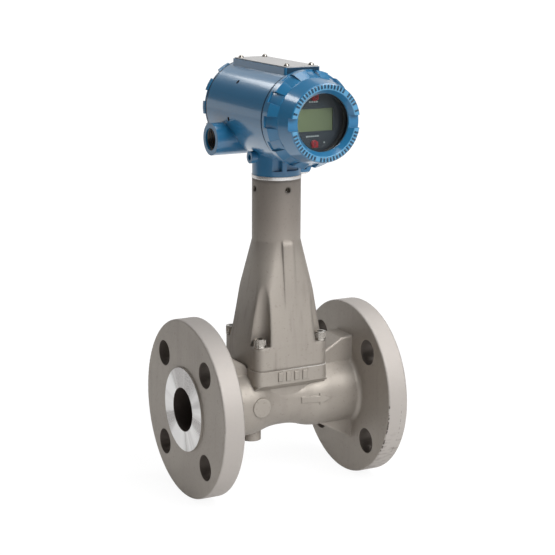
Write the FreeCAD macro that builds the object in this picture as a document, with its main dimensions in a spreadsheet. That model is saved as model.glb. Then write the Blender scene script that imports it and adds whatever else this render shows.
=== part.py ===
import FreeCAD, Part
import math
import os
import Sketcher
from types import SimpleNamespace

from FreeCAD import Placement, Rotation, Vector

# Flanged vortex flow meter with a remote head on a cast support tube.
# Millimetres. X runs along the pipe with the flow, Z points up, and the display faces -Y.
# The origin is the centre of the inlet's raised face, on the pipe's axis.

SIZES = {
    # pipe connections
    "face_to_face": 180.0,
    "pipe_bore": 37.8,
    "flange_diameter": 155.4,
    "flange_thickness": 20.6,
    "raised_face_diameter": 73.2,
    "raised_face_height": 1.6,
    "bolt_circle": 114.3,
    "bolt_hole_diameter": 22.2,
    "flange_edge_round": 1.4,
    # meter body casting
    "barrel_diameter": 50.2,
    "hub_diameter": 61.0,
    "hub_length": 33.4,
    "hub_taper_length": 33.0,
    "hub_root_round": 4.0,
    "pad_length": 70.6,
    "pad_width": 64.6,
    "pad_corner_round": 7.0,
    "pad_top": 33.0,
    "pad_edge_height": 13.0,
    "pad_neck_width": 48.0,
    "pad_neck_drop": 5.5,
    "top_web_width": 28.0,
    "top_web_height": 50.0,
    "top_web_shoulder": 11.0,
    "top_web_foot": 35.5,
    "top_web_fall": 1.0,
    "top_web_overlap": 6.0,
    "bottom_web_width": 30.0,
    "bottom_web_depth": 46.0,
    "bottom_web_start": 36.0,
    "bottom_web_rise": 26.7,
    "bottom_web_sink": 3.0,
    "web_edge_round": 2.0,
    "front_boss_diameter": 17.2,
    "front_boss_offset": 29.0,
    "front_boss_height": 1.0,
    "front_boss_reach": 31.2,
    "drain_boss_diameter": 17.2,
    "drain_boss_offset": 24.0,
    "drain_boss_depth": 36.0,
    "arrow_start": 12.0,
    "arrow_neck": 28.0,
    "arrow_tip": 40.0,
    "arrow_shaft_width": 5.6,
    "arrow_head_width": 10.4,
    "arrow_relief": 0.7,
    "joint_overlap": 1.0,
    "boss_root": 2.0,
    # bar, sensor and its parts
    "bar_face_offset": 30.0,
    "bar_face_width": 10.6,
    "bar_tail_width": 3.4,
    "bar_seat_depth": 2.0,
    "sensor_pocket_diameter": 26.0,
    "sensor_pocket_depth": 11.0,
    "diaphragm_thickness": 2.5,
    "post_diameter": 8.0,
    "post_length": 18.0,
    "sensor_foot_height": 5.0,
    "sensor_barrel_diameter": 16.0,
    "sensor_barrel_height": 25.0,
    "sensor_cap_diameter": 9.0,
    "sensor_cap_height": 6.0,
    "sensor_nut_flats": 22.0,
    "sensor_nut_height": 9.0,
    "cable_diameter": 3.2,
    # support tube casting
    "base_block_height": 21.0,
    "base_block_inset": 0.4,
    "flare_arc_spread": 34.0,
    "flare_height": 87.6,
    "tube_diameter": 42.0,
    "tube_height": 53.4,
    "tube_bore": 32.0,
    "cavity_mouth_diameter": 48.0,
    "cavity_taper_height": 96.0,
    "flute_diameter": 18.4,
    "front_rib_width": 11.0,
    "front_rib_relief": 1.6,
    "front_rib_length": 56.0,
    "front_rib_top_drop": 2.0,
    "lock_hole_diameter": 5.2,
    "lock_hole_drop": 8.5,
    # base screws
    "screw_spacing_along": 59.0,
    "screw_spacing_across": 53.0,
    "screw_diameter": 6.0,
    "screw_head_diameter": 10.0,
    "screw_head_height": 6.0,
    "screw_socket_flats": 5.0,
    "screw_socket_depth": 3.2,
    "screw_grip_below": 15.0,
    "washer_diameter": 10.6,
    "washer_thickness": 1.6,
    "washer_gap": 1.2,
    # electronics housing casting
    "housing_axis_rise": 55.9,
    "housing_diameter": 78.4,
    "housing_front": 48.6,
    "housing_back": 56.4,
    "housing_wall": 4.4,
    "cover_thread_wall": 2.9,
    "cover_thread_depth": 13.6,
    "partition_front": 10.0,
    "partition_thickness": 4.0,
    "neck_land_height": 3.0,
    "neck_land_diameter": 42.6,
    "neck_diameter": 42.0,
    "spigot_length": 17.0,
    "spigot_bore": 10.0,
    "spigot_groove_drop": 2.6,
    "neck_ring_section": 1.6,
    "neck_ring_groove": 2.2,
    "conduit_offset": 26.0,
    "conduit_drop": 23.7,
    "conduit_diameter": 27.8,
    "conduit_bore": 19.2,
    "conduit_reach": 50.0,
    "plug_bore_step": 0.6,
    "plate_pad_width": 33.0,
    "plate_pad_front": 45.4,
    "plate_pad_back": 51.5,
    "plate_pad_height": 2.4,
    "plate_pad_round": 3.0,
    "neck_pocket_floor": 16.6,
    "neck_pocket_bottom": 7.8,
    "neck_pocket_top": 18.4,
    "neck_rib_middle": 3.2,
    "neck_rib_width": 4.2,
    "left_pocket_width": 9.2,
    "right_pocket_width": 12.6,
    "ground_boss_diameter": 10.4,
    "ground_boss_reach": 26.0,
    "ground_boss_rise": 18.6,
    "ground_hole_diameter": 5.0,
    "ground_hole_depth": 7.0,
    "ear_offset": 25.6,
    "ear_diameter": 11.6,
    "ear_width": 9.0,
    "ear_rise": 7.3,
    "ear_hole_diameter": 4.2,
    "ear_hole_depth": 6.0,
    "tag_hole_diameter": 2.0,
    "tag_hole_depth": 4.0,
    "upper_tag_hole_angle": 139.7,
    "upper_tag_hole_offset": 14.1,
    "lower_tag_hole_angle": 188.2,
    "lower_tag_hole_offset": 14.0,
    # plate on top
    "plate_width": 30.6,
    "plate_length": 94.5,
    "plate_thickness": 0.8,
    "plate_screw_inset_across": 3.8,
    "plate_screw_inset_along": 6.3,
    "plate_screw_head": 4.6,
    "plate_screw_head_height": 2.4,
    "plate_screw_shank": 2.2,
    "plate_screw_depth": 4.0,
    # threaded covers
    "cover_gap": 0.6,
    "cover_skirt_length": 12.6,
    "cover_skirt_wall": 4.0,
    "cover_rim_height": 3.6,
    "cover_lug_height": 5.0,
    "cover_lug_count": 12.0,
    "cover_lug_gap": 9.6,
    "lug_cut_reach": 3.0,
    "cover_edge_round": 1.0,
    "front_lug_rise": 1.3,
    "front_lug_ramp": 8.6,
    "front_gap_sink": 4.2,
    "front_cover_reach": 84.2,
    "front_nose_inset": 4.0,
    "front_face_inset": 7.0,
    "face_ring_width": 5.0,
    "window_cone_width": 3.4,
    "window_cone_depth": 4.8,
    "window_lip_depth": 6.4,
    "wrench_slot_width": 10.5,
    "wrench_slot_depth": 4.6,
    "rear_lug_rise": 0.6,
    "rear_lug_length": 3.2,
    "rear_gap_sink": 3.4,
    "rear_rim_height": 1.8,
    "rear_cover_depth": 12.0,
    "rear_cover_wall": 5.0,
    "rear_edge_round": 3.0,
    "seal_section": 1.9,
    "seal_groove_depth": 2.6,
    "seal_groove_width": 2.5,
    "seal_groove_start": 1.0,
    # window
    "gasket_thickness": 0.8,
    "glass_inset": 2.9,
    "glass_thickness": 6.0,
    "ring_inset": 1.0,
    "ring_lap": 1.0,
    "ring_thickness": 3.0,
    # display and boards
    "display_face": 65.0,
    "display_lap": 3.5,
    "display_plate_thickness": 3.0,
    "display_can_inset": 2.0,
    "display_can_depth": 14.0,
    "display_plug_width": 22.0,
    "display_plug_height": 6.0,
    "panel_width": 34.0,
    "panel_height": 18.6,
    "panel_rise": 0.6,
    "panel_thickness": 1.4,
    "panel_pocket_depth": 2.0,
    "jumper_rise": 19.6,
    "jumper_width": 5.6,
    "jumper_height": 4.6,
    "jumper_depth": 3.0,
    "jumper_sink": 1.4,
    "board_inset": 5.0,
    "board_thickness": 1.6,
    "lower_board_face": 6.0,
    "upper_board_face": 30.0,
    "standoff_diameter": 5.0,
    "standoff_inset": 5.0,
    # terminal compartment
    "terminal_block_inset": 2.0,
    "terminal_block_thickness": 18.0,
    "terminal_block_drop": 6.0,
    "terminal_pitch": 14.0,
    "terminal_rise": 5.0,
    "terminal_pocket_width": 11.0,
    "terminal_pocket_height": 13.0,
    "terminal_pocket_depth": 4.0,
    "terminal_screw_diameter": 7.0,
    "terminal_screw_height": 2.6,
    "terminal_slot_width": 1.0,
    "block_screw_span": 36.0,
    "block_screw_rise": 19.0,
    "block_screw_head": 6.0,
    "block_screw_head_height": 2.4,
    "block_screw_shank": 3.0,
    "block_screw_grip": 3.0,
    "plug_socket_flats": 9.5,
    "plug_socket_depth": 7.0,
    "plug_length": 14.0,
    "lock_screw_length": 6.6,
    "lock_screw_sink": 0.4,
    "lock_screw_socket": 2.5,
    "sensor_plug_length": 10.0,
    "sensor_plug_rise": 10.5,
    # clearances
    "running_clearance": 0.06,
    "seat_clearance": 0.05,
    "web_clearance": 0.7,
    "swivel_clearance": 0.3,
}

doc = FreeCAD.newDocument("FlowMeter")
sheet = doc.addObject("Spreadsheet::Sheet", "Sizes")
for row, (alias, value) in enumerate(SIZES.items(), 1):
    sheet.set("A%d" % row, alias)
    sheet.set("B%d" % row, str(value))
    sheet.setAlias("B%d" % row, alias)
doc.recompute()


class Size:
    """A length with the formula that works it out from the sheet."""

    def __init__(self, value, formula):
        self.value = float(value)
        self.formula = formula

    def __add__(self, other):
        other = as_size(other)
        return Size(self.value + other.value, "(%s + %s)" % (self.formula, other.formula))

    def __radd__(self, other):
        return as_size(other) + self

    def __sub__(self, other):
        other = as_size(other)
        return Size(self.value - other.value, "(%s - %s)" % (self.formula, other.formula))

    def __rsub__(self, other):
        return as_size(other) - self

    def __mul__(self, factor):
        factor = as_size(factor)
        return Size(self.value * factor.value, "(%s * %s)" % (self.formula, factor.formula))

    def __rmul__(self, factor):
        return self * factor

    def __truediv__(self, divisor):
        divisor = as_size(divisor)
        return Size(self.value / divisor.value, "(%s / %s)" % (self.formula, divisor.formula))

    def __neg__(self):
        return self * -1


def as_size(number):
    if isinstance(number, Size):
        return number
    return Size(number, "(%.9g)" % number)


s = SimpleNamespace(**{alias: Size(value, "Sizes." + alias) for alias, value in SIZES.items()})
NOTHING = as_size(0)

# levels and places that several pieces share
middle = s.face_to_face / 2
bore_radius = s.pipe_bore / 2
block_top = s.pad_top + s.base_block_height
flare_top = block_top + s.flare_height
tube_top = flare_top + s.tube_height
neck_bottom = tube_top + s.neck_land_height
housing_axis = tube_top + s.housing_axis_rise
housing_radius = s.housing_diameter / 2
room_radius = housing_radius - s.housing_wall
cover_thread_radius = housing_radius - s.cover_thread_wall
cover_skirt_bore = cover_thread_radius - s.cover_skirt_wall
front_face_radius = housing_radius - s.front_face_inset
window_mouth_radius = front_face_radius - s.face_ring_width
window_radius = window_mouth_radius - s.window_cone_width
glass_radius = cover_skirt_bore - s.glass_inset
ring_radius = cover_skirt_bore - s.ring_inset
rear_lug_radius = housing_radius + s.rear_lug_rise
pocket_floor = s.pad_top - s.sensor_pocket_depth
lock_hole_level = tube_top - s.lock_hole_drop
spigot_radius = s.tube_bore / 2 - s.running_clearance
plate_level = housing_axis + housing_radius + s.plate_pad_height
neck_groove_radius = spigot_radius - s.swivel_clearance - s.neck_ring_section
partition_back = s.partition_front + s.partition_thickness
block_face = partition_back + s.terminal_block_thickness
cover_skirt_radius = cover_thread_radius - s.running_clearance
front_rim = s.housing_front + s.cover_gap
back_rim = s.housing_back + s.cover_gap
lip_level = s.front_cover_reach - s.window_lip_depth
sensor_plug_bottom = tube_top + s.sensor_plug_rise
gasket_back = lip_level - s.gasket_thickness
glass_back = gasket_back - s.glass_thickness
ring_back = glass_back - s.ring_thickness

ALONG_X = Rotation(Vector(0, 1, 0), 90)
ALONG_Y = Rotation(Vector(1, 0, 0), -90)
ALONG_Z = Rotation()
# how far round its thread the rear cover stands, as seen from the front
REAR_COVER_TURN = Rotation(Vector(0, -1, 0), 16)

pieces = []


def bind(thing, path, size):
    thing.setExpression(path, as_size(size).formula)


def place(thing, x=0, y=0, z=0, rotation=ALONG_Z):
    thing.Placement = Placement(Vector(0, 0, 0), rotation)
    bind(thing, "Placement.Base.x", x)
    bind(thing, "Placement.Base.y", y)
    bind(thing, "Placement.Base.z", z)
    return thing


def piece(label, thing):
    """Marks a finished sub-part under the name that its file gets."""
    thing.Label = label
    pieces.append(thing)
    return thing


def cylinder(name, radius, length, x=0, y=0, z=0, rotation=ALONG_Z):
    thing = doc.addObject("Part::Cylinder", name)
    bind(thing, "Radius", radius)
    bind(thing, "Height", length)
    return place(thing, x, y, z, rotation)


def cone(name, first_radius, last_radius, length, x=0, y=0, z=0, rotation=ALONG_Z):
    thing = doc.addObject("Part::Cone", name)
    bind(thing, "Radius1", first_radius)
    bind(thing, "Radius2", last_radius)
    bind(thing, "Height", length)
    return place(thing, x, y, z, rotation)


def block(name, low, high):
    """A box from its low corner to its high corner."""
    thing = doc.addObject("Part::Box", name)
    for path, first, last in zip(("Length", "Width", "Height"), low, high):
        bind(thing, path, last - first)
    return place(thing, *low)


def torus(name, ring_radius, section_radius, x=0, y=0, z=0, rotation=ALONG_Z):
    thing = doc.addObject("Part::Torus", name)
    bind(thing, "Radius1", ring_radius)
    bind(thing, "Radius2", section_radius)
    return place(thing, x, y, z, rotation)


def hexagon(name, flats, length, x=0, y=0, z=0, rotation=ALONG_Z):
    thing = doc.addObject("Part::Prism", name)
    thing.Polygon = 6
    bind(thing, "Circumradius", flats / math.sqrt(3))
    bind(thing, "Height", length)
    return place(thing, x, y, z, rotation)


def fused(name, shapes):
    thing = doc.addObject("Part::MultiFuse", name)
    thing.Shapes = shapes
    thing.Refine = True
    return thing


def cut(name, base, tools):
    thing = doc.addObject("Part::Cut", name)
    thing.Base = base
    thing.Tool = tools[0] if len(tools) == 1 else fused(name + "Tools", tools)
    thing.Refine = False
    return thing


def common(name, shapes):
    thing = doc.addObject("Part::MultiCommon", name)
    thing.Shapes = shapes
    return thing


def group(name, shapes):
    """Separate solids that share one node."""
    thing = doc.addObject("Part::Compound", name)
    thing.Links = shapes
    return thing


def rounded(name, base, radius, chosen):
    """Rounds the edges of a solid that the given test picks."""
    doc.recompute()
    thing = doc.addObject("Part::Fillet", name)
    thing.Base = base
    edges = base.Shape.Edges
    thing.Edges = [(n, radius.value, radius.value) for n, edge in enumerate(edges, 1) if chosen(edge)]
    return thing


def origin_plane(body, role):
    return next(item for item in body.Origin.OriginFeatures if item.Role == role)


def outline(sketch, points):
    """Draws a closed outline whose corners are pinned by their sizes.

    A third size on a point is the radius of an arc that arrives there, negative when it turns right.
    """
    ends = []
    count = len(points)
    for index in range(count):
        start = points[index]
        end = points[(index + 1) % count]
        a = Vector(as_size(start[0]).value, as_size(start[1]).value, 0)
        b = Vector(as_size(end[0]).value, as_size(end[1]).value, 0)
        if len(end) == 2:
            line = sketch.addGeometry(Part.LineSegment(a, b), False)
            ends.append((line, 1, 2))
            continue
        bend = as_size(end[2])
        leftward = bend.value > 0
        half = (b - a) * 0.5
        side = Vector(-half.y, half.x, 0).normalize()
        rise = math.sqrt(max(bend.value ** 2 - half.Length ** 2, 0))
        centre = a + half + side * (rise if leftward else -rise)
        first, last = (a, b) if leftward else (b, a)
        angles = [math.atan2(p.y - centre.y, p.x - centre.x) for p in (first, last)]
        circle = Part.Circle(centre, Vector(0, 0, 1), abs(bend.value))
        arc = sketch.addGeometry(Part.ArcOfCircle(circle, angles[0], angles[1]), False)
        ends.append((arc, 1, 2) if leftward else (arc, 2, 1))
        pin(sketch, ("Radius", arc), bend if leftward else -bend)
    for index in range(count):
        edge, first, last = ends[index]
        following, following_first = ends[(index + 1) % count][:2]
        sketch.addConstraint(Sketcher.Constraint("Coincident", edge, last, following, following_first))
        pin(sketch, ("DistanceX", -1, 1, edge, first), points[index][0])
        pin(sketch, ("DistanceY", -1, 1, edge, first), points[index][1])


def pin(sketch, where, size):
    """Adds a driving size to a sketch and binds it to the sheet."""
    index = sketch.addConstraint(Sketcher.Constraint(*where, as_size(size).value))
    bind(sketch, "Constraints[%d]" % index, size)


def sketch_in(body, name, role, points, offset=0):
    """A sketch on one of the body's own planes, moved out along that plane's normal."""
    sketch = body.newObject("Sketcher::SketchObject", name)
    sketch.AttachmentSupport = [(origin_plane(body, role), "")]
    sketch.MapMode = "FlatFace"
    bind(sketch, "AttachmentOffset.Base.z", offset)
    outline(sketch, points)
    return sketch


def turned(name, role, axis, points):
    """A turned body: an outline on a plane, revolved about one of the sketch's axes."""
    body = doc.addObject("PartDesign::Body", name)
    sketch = sketch_in(body, name + "Outline", role, points)
    revolution = body.newObject("PartDesign::Revolution", name + "Turn")
    revolution.Profile = sketch
    revolution.ReferenceAxis = (sketch, [axis])
    revolution.Angle = 360
    return body


def padded(name, role, points, start, length):
    """A body with one pad, from its start along the plane's normal."""
    body = doc.addObject("PartDesign::Body", name)
    sketch = sketch_in(body, name + "Outline", role, points, start)
    pad = body.newObject("PartDesign::Pad", name + "Pad")
    pad.Profile = sketch
    bind(pad, "Length", length)
    return body


def rounded_rectangle(centre_x, centre_y, length, width, corner):
    """Outline points of a rectangle with round corners, anticlockwise."""
    x, y = length / 2, width / 2
    left, right = centre_x - x, centre_x + x
    low, high = centre_y - y, centre_y + y
    return [
        (left + corner, low, corner),
        (right - corner, low),
        (right, low + corner, corner),
        (right, high - corner),
        (right - corner, high, corner),
        (left + corner, high),
        (left, high - corner, corner),
        (left, low + corner),
    ]


def screw_places():
    """The four base screws, as distances from the tube's axis."""
    for along in (-1, 1):
        for across in (-1, 1):
            yield middle + s.screw_spacing_along / 2 * along, s.screw_spacing_across / 2 * across


def hub_swell_radius():
    """Radius of the two equal arcs that take the hub down to the barrel in an even S."""
    step = (s.hub_diameter - s.barrel_diameter) / 2
    return (s.hub_taper_length * s.hub_taper_length + step * step) / (step * 4)


def hub_taper_points(extra):
    """The end of the hub and its S down to the barrel, with a skin of extra thickness."""
    hub = s.hub_diameter / 2 + extra
    barrel = s.barrel_diameter / 2 + extra
    start = s.flange_thickness + s.hub_length
    swell = hub_swell_radius()
    return [
        (start, hub),
        (start + s.hub_taper_length / 2, (hub + barrel) / 2, -swell),
        (start + s.hub_taper_length, barrel, swell),
    ]


def flange_and_hub_points():
    """The inlet half of the casting's outside, from the bore outwards, as distance and radius."""
    rim = s.flange_diameter / 2
    hub = s.hub_diameter / 2
    edge = s.flange_edge_round
    root = s.hub_root_round
    back = s.flange_thickness
    return [
        (0, bore_radius),
        (0, s.raised_face_diameter / 2),
        (s.raised_face_height, s.raised_face_diameter / 2),
        (s.raised_face_height, rim - edge),
        (s.raised_face_height + edge, rim, -edge),
        (back - edge, rim),
        (back, rim - edge, -edge),
        (back, hub + root),
        (back + root, hub, root),
    ] + hub_taper_points(NOTHING)


def meter_blank(name, extra):
    """Both flanges, their hubs and the barrel between, turned about the pipe's axis."""
    inlet = flange_and_hub_points()
    if extra:
        inlet = [(s.flange_thickness, bore_radius), (s.flange_thickness, s.hub_diameter / 2 + extra)]
        inlet += hub_taper_points(extra)
    outlet = []
    for index in range(len(inlet) - 1, -1, -1):
        x, radius = inlet[index][:2]
        bend = inlet[index + 1][2:] if index + 1 < len(inlet) else ()
        outlet.append((s.face_to_face - x, radius) + bend)
    return turned(name, "XZ_Plane", "H_Axis", inlet + outlet)


def web(name, side, width, points):
    """An upright web between the barrel and one flange, with its long edges rounded."""
    outline_points = [(middle + x * side, z) for x, z in points]
    if side < 0:
        outline_points.reverse()
    plate = padded(name + "Plate", "XZ_Plane", outline_points, -(width / 2), width)

    def slopes(edge):
        step = edge.lastVertex().Point - edge.firstVertex().Point
        return abs(step.x) > 0.1 and abs(step.z) > 0.1

    return rounded(name, plate, s.web_edge_round, slopes)


def shedder_outline(grow):
    """Outline of the bar seen from above: a wide blunt face upstream and a narrow tail."""
    front = middle - s.bar_face_offset - grow
    tail = middle + grow
    wide = s.bar_face_width / 2 + grow
    narrow = s.bar_tail_width / 2 + grow
    return [(front, -wide), (tail, -narrow), (tail, narrow), (front, wide)]


def flow_arrow():
    """The raised arrow on the front of the barrel, before it is trimmed to its relief."""
    shaft = s.arrow_shaft_width / 2
    head = s.arrow_head_width / 2
    level = s.front_boss_height
    points = [
        (middle + s.arrow_start, level - shaft),
        (middle + s.arrow_neck, level - shaft),
        (middle + s.arrow_neck, level - head),
        (middle + s.arrow_tip, level),
        (middle + s.arrow_neck, level + head),
        (middle + s.arrow_neck, level + shaft),
        (middle + s.arrow_start, level + shaft),
    ]
    return padded("ArrowPrism", "XZ_Plane", points, bore_radius, s.barrel_diameter / 2)


def make_meter_body():
    half_length = s.pad_length / 2
    half_width = s.pad_width / 2
    neck = s.pad_neck_width / 2
    under_pad = s.pad_top - s.pad_edge_height
    foot_x = half_length + s.web_clearance
    flange_x = middle - s.flange_thickness
    blank = meter_blank("Casting", 0)
    arrow = common("FlowArrow", [flow_arrow(), meter_blank("ArrowSkin", s.arrow_relief)])
    pad_points = rounded_rectangle(middle, 0, s.pad_length, s.pad_width, s.pad_corner_round)
    pad = padded("SensorPad", "XY_Plane", pad_points, under_pad, s.pad_edge_height)
    neck_points = [
        (-neck, 0),
        (neck, 0),
        (neck, under_pad - s.pad_neck_drop),
        (half_width, under_pad),
        (-half_width, under_pad),
        (-neck, under_pad - s.pad_neck_drop),
    ]
    pad_neck = padded("PadNeck", "YZ_Plane", neck_points, middle - half_length + s.joint_overlap,
                      s.pad_length - s.joint_overlap * 2)
    solids = [blank, arrow, pad, pad_neck]
    top_web = [
        (half_length - s.top_web_overlap, under_pad),
        (flange_x + s.joint_overlap, under_pad),
        (flange_x + s.joint_overlap, s.top_web_height),
        (flange_x - s.top_web_shoulder, s.top_web_height - s.top_web_fall),
        (foot_x, s.top_web_foot),
        (foot_x, s.pad_top),
        (half_length - s.top_web_overlap, s.pad_top),
    ]
    underside = -s.bottom_web_rise
    bottom_web = [
        (s.bottom_web_start, underside + s.bottom_web_sink),
        (s.bottom_web_start, underside),
        (flange_x + s.joint_overlap, -s.bottom_web_depth),
        (flange_x + s.joint_overlap, underside + s.bottom_web_sink),
    ]
    for side, end in ((-1, "Inlet"), (1, "Outlet")):
        solids.append(web(end + "TopWeb", side, s.top_web_width, top_web))
        solids.append(web(end + "BottomWeb", side, s.bottom_web_width, bottom_web))
    boss_radius = s.front_boss_diameter / 2
    boss_x = middle - s.front_boss_offset
    solids.append(cylinder("FrontBoss", boss_radius, s.front_boss_reach - bore_radius - s.boss_root,
                           boss_x, -s.front_boss_reach, s.front_boss_height, ALONG_Y))
    drain_length = s.drain_boss_depth - bore_radius - s.boss_root
    solids.append(cylinder("DrainBoss", s.drain_boss_diameter / 2, drain_length,
                           middle - s.drain_boss_offset, 0, -s.drain_boss_depth))
    casting = fused("MeterCasting", solids)
    tools = [cylinder("FlowBore", bore_radius, s.face_to_face, 0, 0, 0, ALONG_X)]
    bolt_offset = s.bolt_circle / 2 / math.sqrt(2)
    for end, x in (("Inlet", NOTHING), ("Outlet", s.face_to_face - s.flange_thickness)):
        for y_side in (-1, 1):
            for z_side in (-1, 1):
                tools.append(cylinder(end + "BoltHole", s.bolt_hole_diameter / 2, s.flange_thickness,
                                      x, bolt_offset * y_side, bolt_offset * z_side, ALONG_X))
    tools.append(cylinder("SensorPocket", s.sensor_pocket_diameter / 2, s.sensor_pocket_depth,
                          middle, 0, pocket_floor))
    for x, y in screw_places():
        tools.append(cylinder("PadScrewHole", s.screw_diameter / 2 + s.seat_clearance,
                              s.screw_grip_below, x, y, s.pad_top - s.screw_grip_below))
    seat_height = bore_radius + s.bar_seat_depth
    seat = shedder_outline(s.seat_clearance)
    tools.append(padded("BarSeat", "XY_Plane", seat, -seat_height, seat_height * 2))
    return piece("meter_body", cut("MeterBody", casting, tools))


def make_sensor():
    seat_height = bore_radius + s.bar_seat_depth
    bar = padded("Bar", "XY_Plane", shedder_outline(NOTHING), -seat_height, seat_height * 2)
    piece("shedder_bar", bar)
    disc_radius = s.sensor_pocket_diameter / 2 - s.seat_clearance
    disc_top = pocket_floor + s.diaphragm_thickness
    post_top = disc_top + s.post_length
    post_radius = s.post_diameter / 2
    flexure = turned("Flexure", "XZ_Plane", "V_Axis", [
        (0, pocket_floor), (disc_radius, pocket_floor), (disc_radius, disc_top),
        (post_radius, disc_top), (post_radius, post_top), (0, post_top)])
    piece("flexure_post", place(flexure, middle))
    foot_top = disc_top + s.sensor_foot_height
    barrel_top = foot_top + s.sensor_barrel_height
    cap_top = barrel_top + s.sensor_cap_height
    socket_radius = post_radius + s.seat_clearance
    barrel_radius = s.sensor_barrel_diameter / 2
    cap_radius = s.sensor_cap_diameter / 2
    sensor = turned("Sensor", "XZ_Plane", "V_Axis", [
        (socket_radius, disc_top), (disc_radius, disc_top), (disc_radius, foot_top),
        (barrel_radius, foot_top), (barrel_radius, barrel_top), (cap_radius, barrel_top),
        (cap_radius, cap_top), (0, cap_top), (0, post_top + s.joint_overlap),
        (socket_radius, post_top + s.joint_overlap)])
    piece("vortex_sensor", place(sensor, middle))
    ring = cylinder("NutThread", disc_radius, s.pad_top - foot_top, middle, 0, foot_top)
    nut = hexagon("NutHexagon", s.sensor_nut_flats, s.sensor_nut_height, middle, 0, s.pad_top)
    nut_height = s.pad_top - foot_top + s.sensor_nut_height
    nut_bore = cylinder("NutBore", barrel_radius + s.seat_clearance, nut_height, middle, 0, foot_top)
    piece("sensor_nut", cut("SensorNut", fused("NutBlank", [ring, nut]), [nut_bore]))
    cable_length = sensor_plug_bottom - s.swivel_clearance - cap_top
    piece("sensor_cable", cylinder("Cable", s.cable_diameter / 2, cable_length, middle, 0, cap_top))


def flare_section(half_x, half_y, corner, level):
    """The corner arcs of a rounded rectangle, each as its first, middle and last point."""
    centre = Vector(middle.value, 0, level)
    edges = []
    corners = ((1, -1), (1, 1), (-1, 1), (-1, -1))
    turn_centres = [centre + Vector(i * (half_x - corner), j * (half_y - corner), 0) for i, j in corners]
    for index, (i, j) in enumerate(corners):
        heading = math.atan2(j, i)
        turns = (heading - math.pi / 4, heading, heading + math.pi / 4)
        edges.append([turn_centres[index] + Vector(math.cos(a), math.sin(a), 0) * corner for a in turns])
    return edges


def make_flare():
    """The flared stretch between the square base block and the round tube."""
    half_sizes = [(size / 2 - s.base_block_inset).value for size in (s.pad_length, s.pad_width)]
    low = flare_section(*half_sizes, s.pad_corner_round.value, block_top.value)
    radius = s.tube_diameter.value / 2
    spread = math.radians(s.flare_arc_spread.value)
    centre = Vector(middle.value, 0, flare_top.value)
    low_edges = []
    high_edges = []
    for index in range(4):
        first, mid, last = low[index]
        following = low[(index + 1) % 4][0]
        low_edges.append(Part.Arc(first, mid, last).toShape())
        low_edges.append(Part.makeLine(last, following))
        heading = math.radians(-45 + 90 * index)
        stops = [heading - spread / 2, heading, heading + spread / 2, heading + math.pi / 4,
                 heading + math.pi / 2 - spread / 2]
        round_points = [centre + Vector(math.cos(a), math.sin(a), 0) * radius for a in stops]
        high_edges.append(Part.Arc(*round_points[0:3]).toShape())
        high_edges.append(Part.Arc(*round_points[2:5]).toShape())
    solid = Part.makeLoft([Part.Wire(low_edges), Part.Wire(high_edges)], True, True)
    thing = doc.addObject("Part::Feature", "Flare")
    thing.Shape = solid
    return thing


def make_support_tube():
    block_points = rounded_rectangle(middle, 0, s.pad_length - s.base_block_inset * 2,
                                     s.pad_width - s.base_block_inset * 2, s.pad_corner_round)
    base = padded("BaseBlock", "XY_Plane", block_points, s.pad_top, s.base_block_height)
    tube = cylinder("Tube", s.tube_diameter / 2, s.tube_height, middle, 0, flare_top)
    rib_top = s.tube_diameter / 2 + s.front_rib_relief
    rib_slope = (s.pad_width / 2 - s.base_block_inset - s.tube_diameter / 2) / s.flare_height
    rib_low = s.tube_diameter / 2 + rib_slope * s.front_rib_length
    rib_points = [
        (0, flare_top - s.front_rib_length),
        (0, flare_top + s.joint_overlap),
        (-(s.tube_diameter / 2), flare_top + s.joint_overlap),
        (-rib_top, flare_top - s.front_rib_top_drop),
        (-rib_low, flare_top - s.front_rib_length),
    ]
    rib = padded("FrontRib", "YZ_Plane", rib_points, middle - s.front_rib_width / 2, s.front_rib_width)
    casting = fused("TubeCasting", [base, make_flare(), tube, rib])
    tools = [
        cone("Cavity", s.cavity_mouth_diameter / 2, s.tube_bore / 2, s.cavity_taper_height,
             middle, 0, s.pad_top),
        cylinder("TubeBore", s.tube_bore / 2, tube_top - s.pad_top, middle, 0, s.pad_top),
    ]
    for x, y in screw_places():
        tools.append(cylinder("Flute", s.flute_diameter / 2, s.flare_height, x, y, block_top))
        tools.append(cylinder("BlockScrewHole", s.screw_diameter / 2 + s.swivel_clearance,
                              s.base_block_height, x, y, s.pad_top))
    radius = s.lock_hole_diameter / 2
    across = s.tube_diameter + s.joint_overlap * 2
    tools.append(cylinder("LockHoleAlong", radius, across, middle - across / 2, 0, lock_hole_level, ALONG_X))
    tools.append(cylinder("LockHoleAcross", radius, across, middle, -(across / 2), lock_hole_level, ALONG_Y))
    return piece("support_tube", cut("SupportTube", casting, tools))


def make_base_screws():
    washers = []
    screws = []
    seat = block_top + s.washer_thickness
    shank = s.screw_diameter / 2
    for x, y in screw_places():
        ring = cylinder("WasherRing", s.washer_diameter / 2, s.washer_thickness, x, y, block_top)
        bore = cylinder("WasherBore", shank + s.seat_clearance, s.washer_thickness, x, y, block_top)
        gap = block("WasherGap", (x, y - s.washer_gap / 2, block_top),
                    (x + s.washer_diameter, y + s.washer_gap / 2, seat))
        washers.append(cut("LockWasher", ring, [bore, gap]))
        length = seat - s.pad_top + s.screw_grip_below - s.joint_overlap
        stem = cylinder("ScrewShank", shank, length, x, y, seat - length)
        head = cylinder("ScrewHead", s.screw_head_diameter / 2, s.screw_head_height, x, y, seat)
        socket = hexagon("ScrewSocket", s.screw_socket_flats, s.screw_socket_depth, x, y,
                         seat + s.screw_head_height - s.screw_socket_depth)
        screws.append(cut("CapScrew", fused("ScrewBlank", [stem, head]), [socket]))
    piece("lock_washers", group("LockWashers", washers))
    piece("cap_screws", group("CapScrews", screws))


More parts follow.
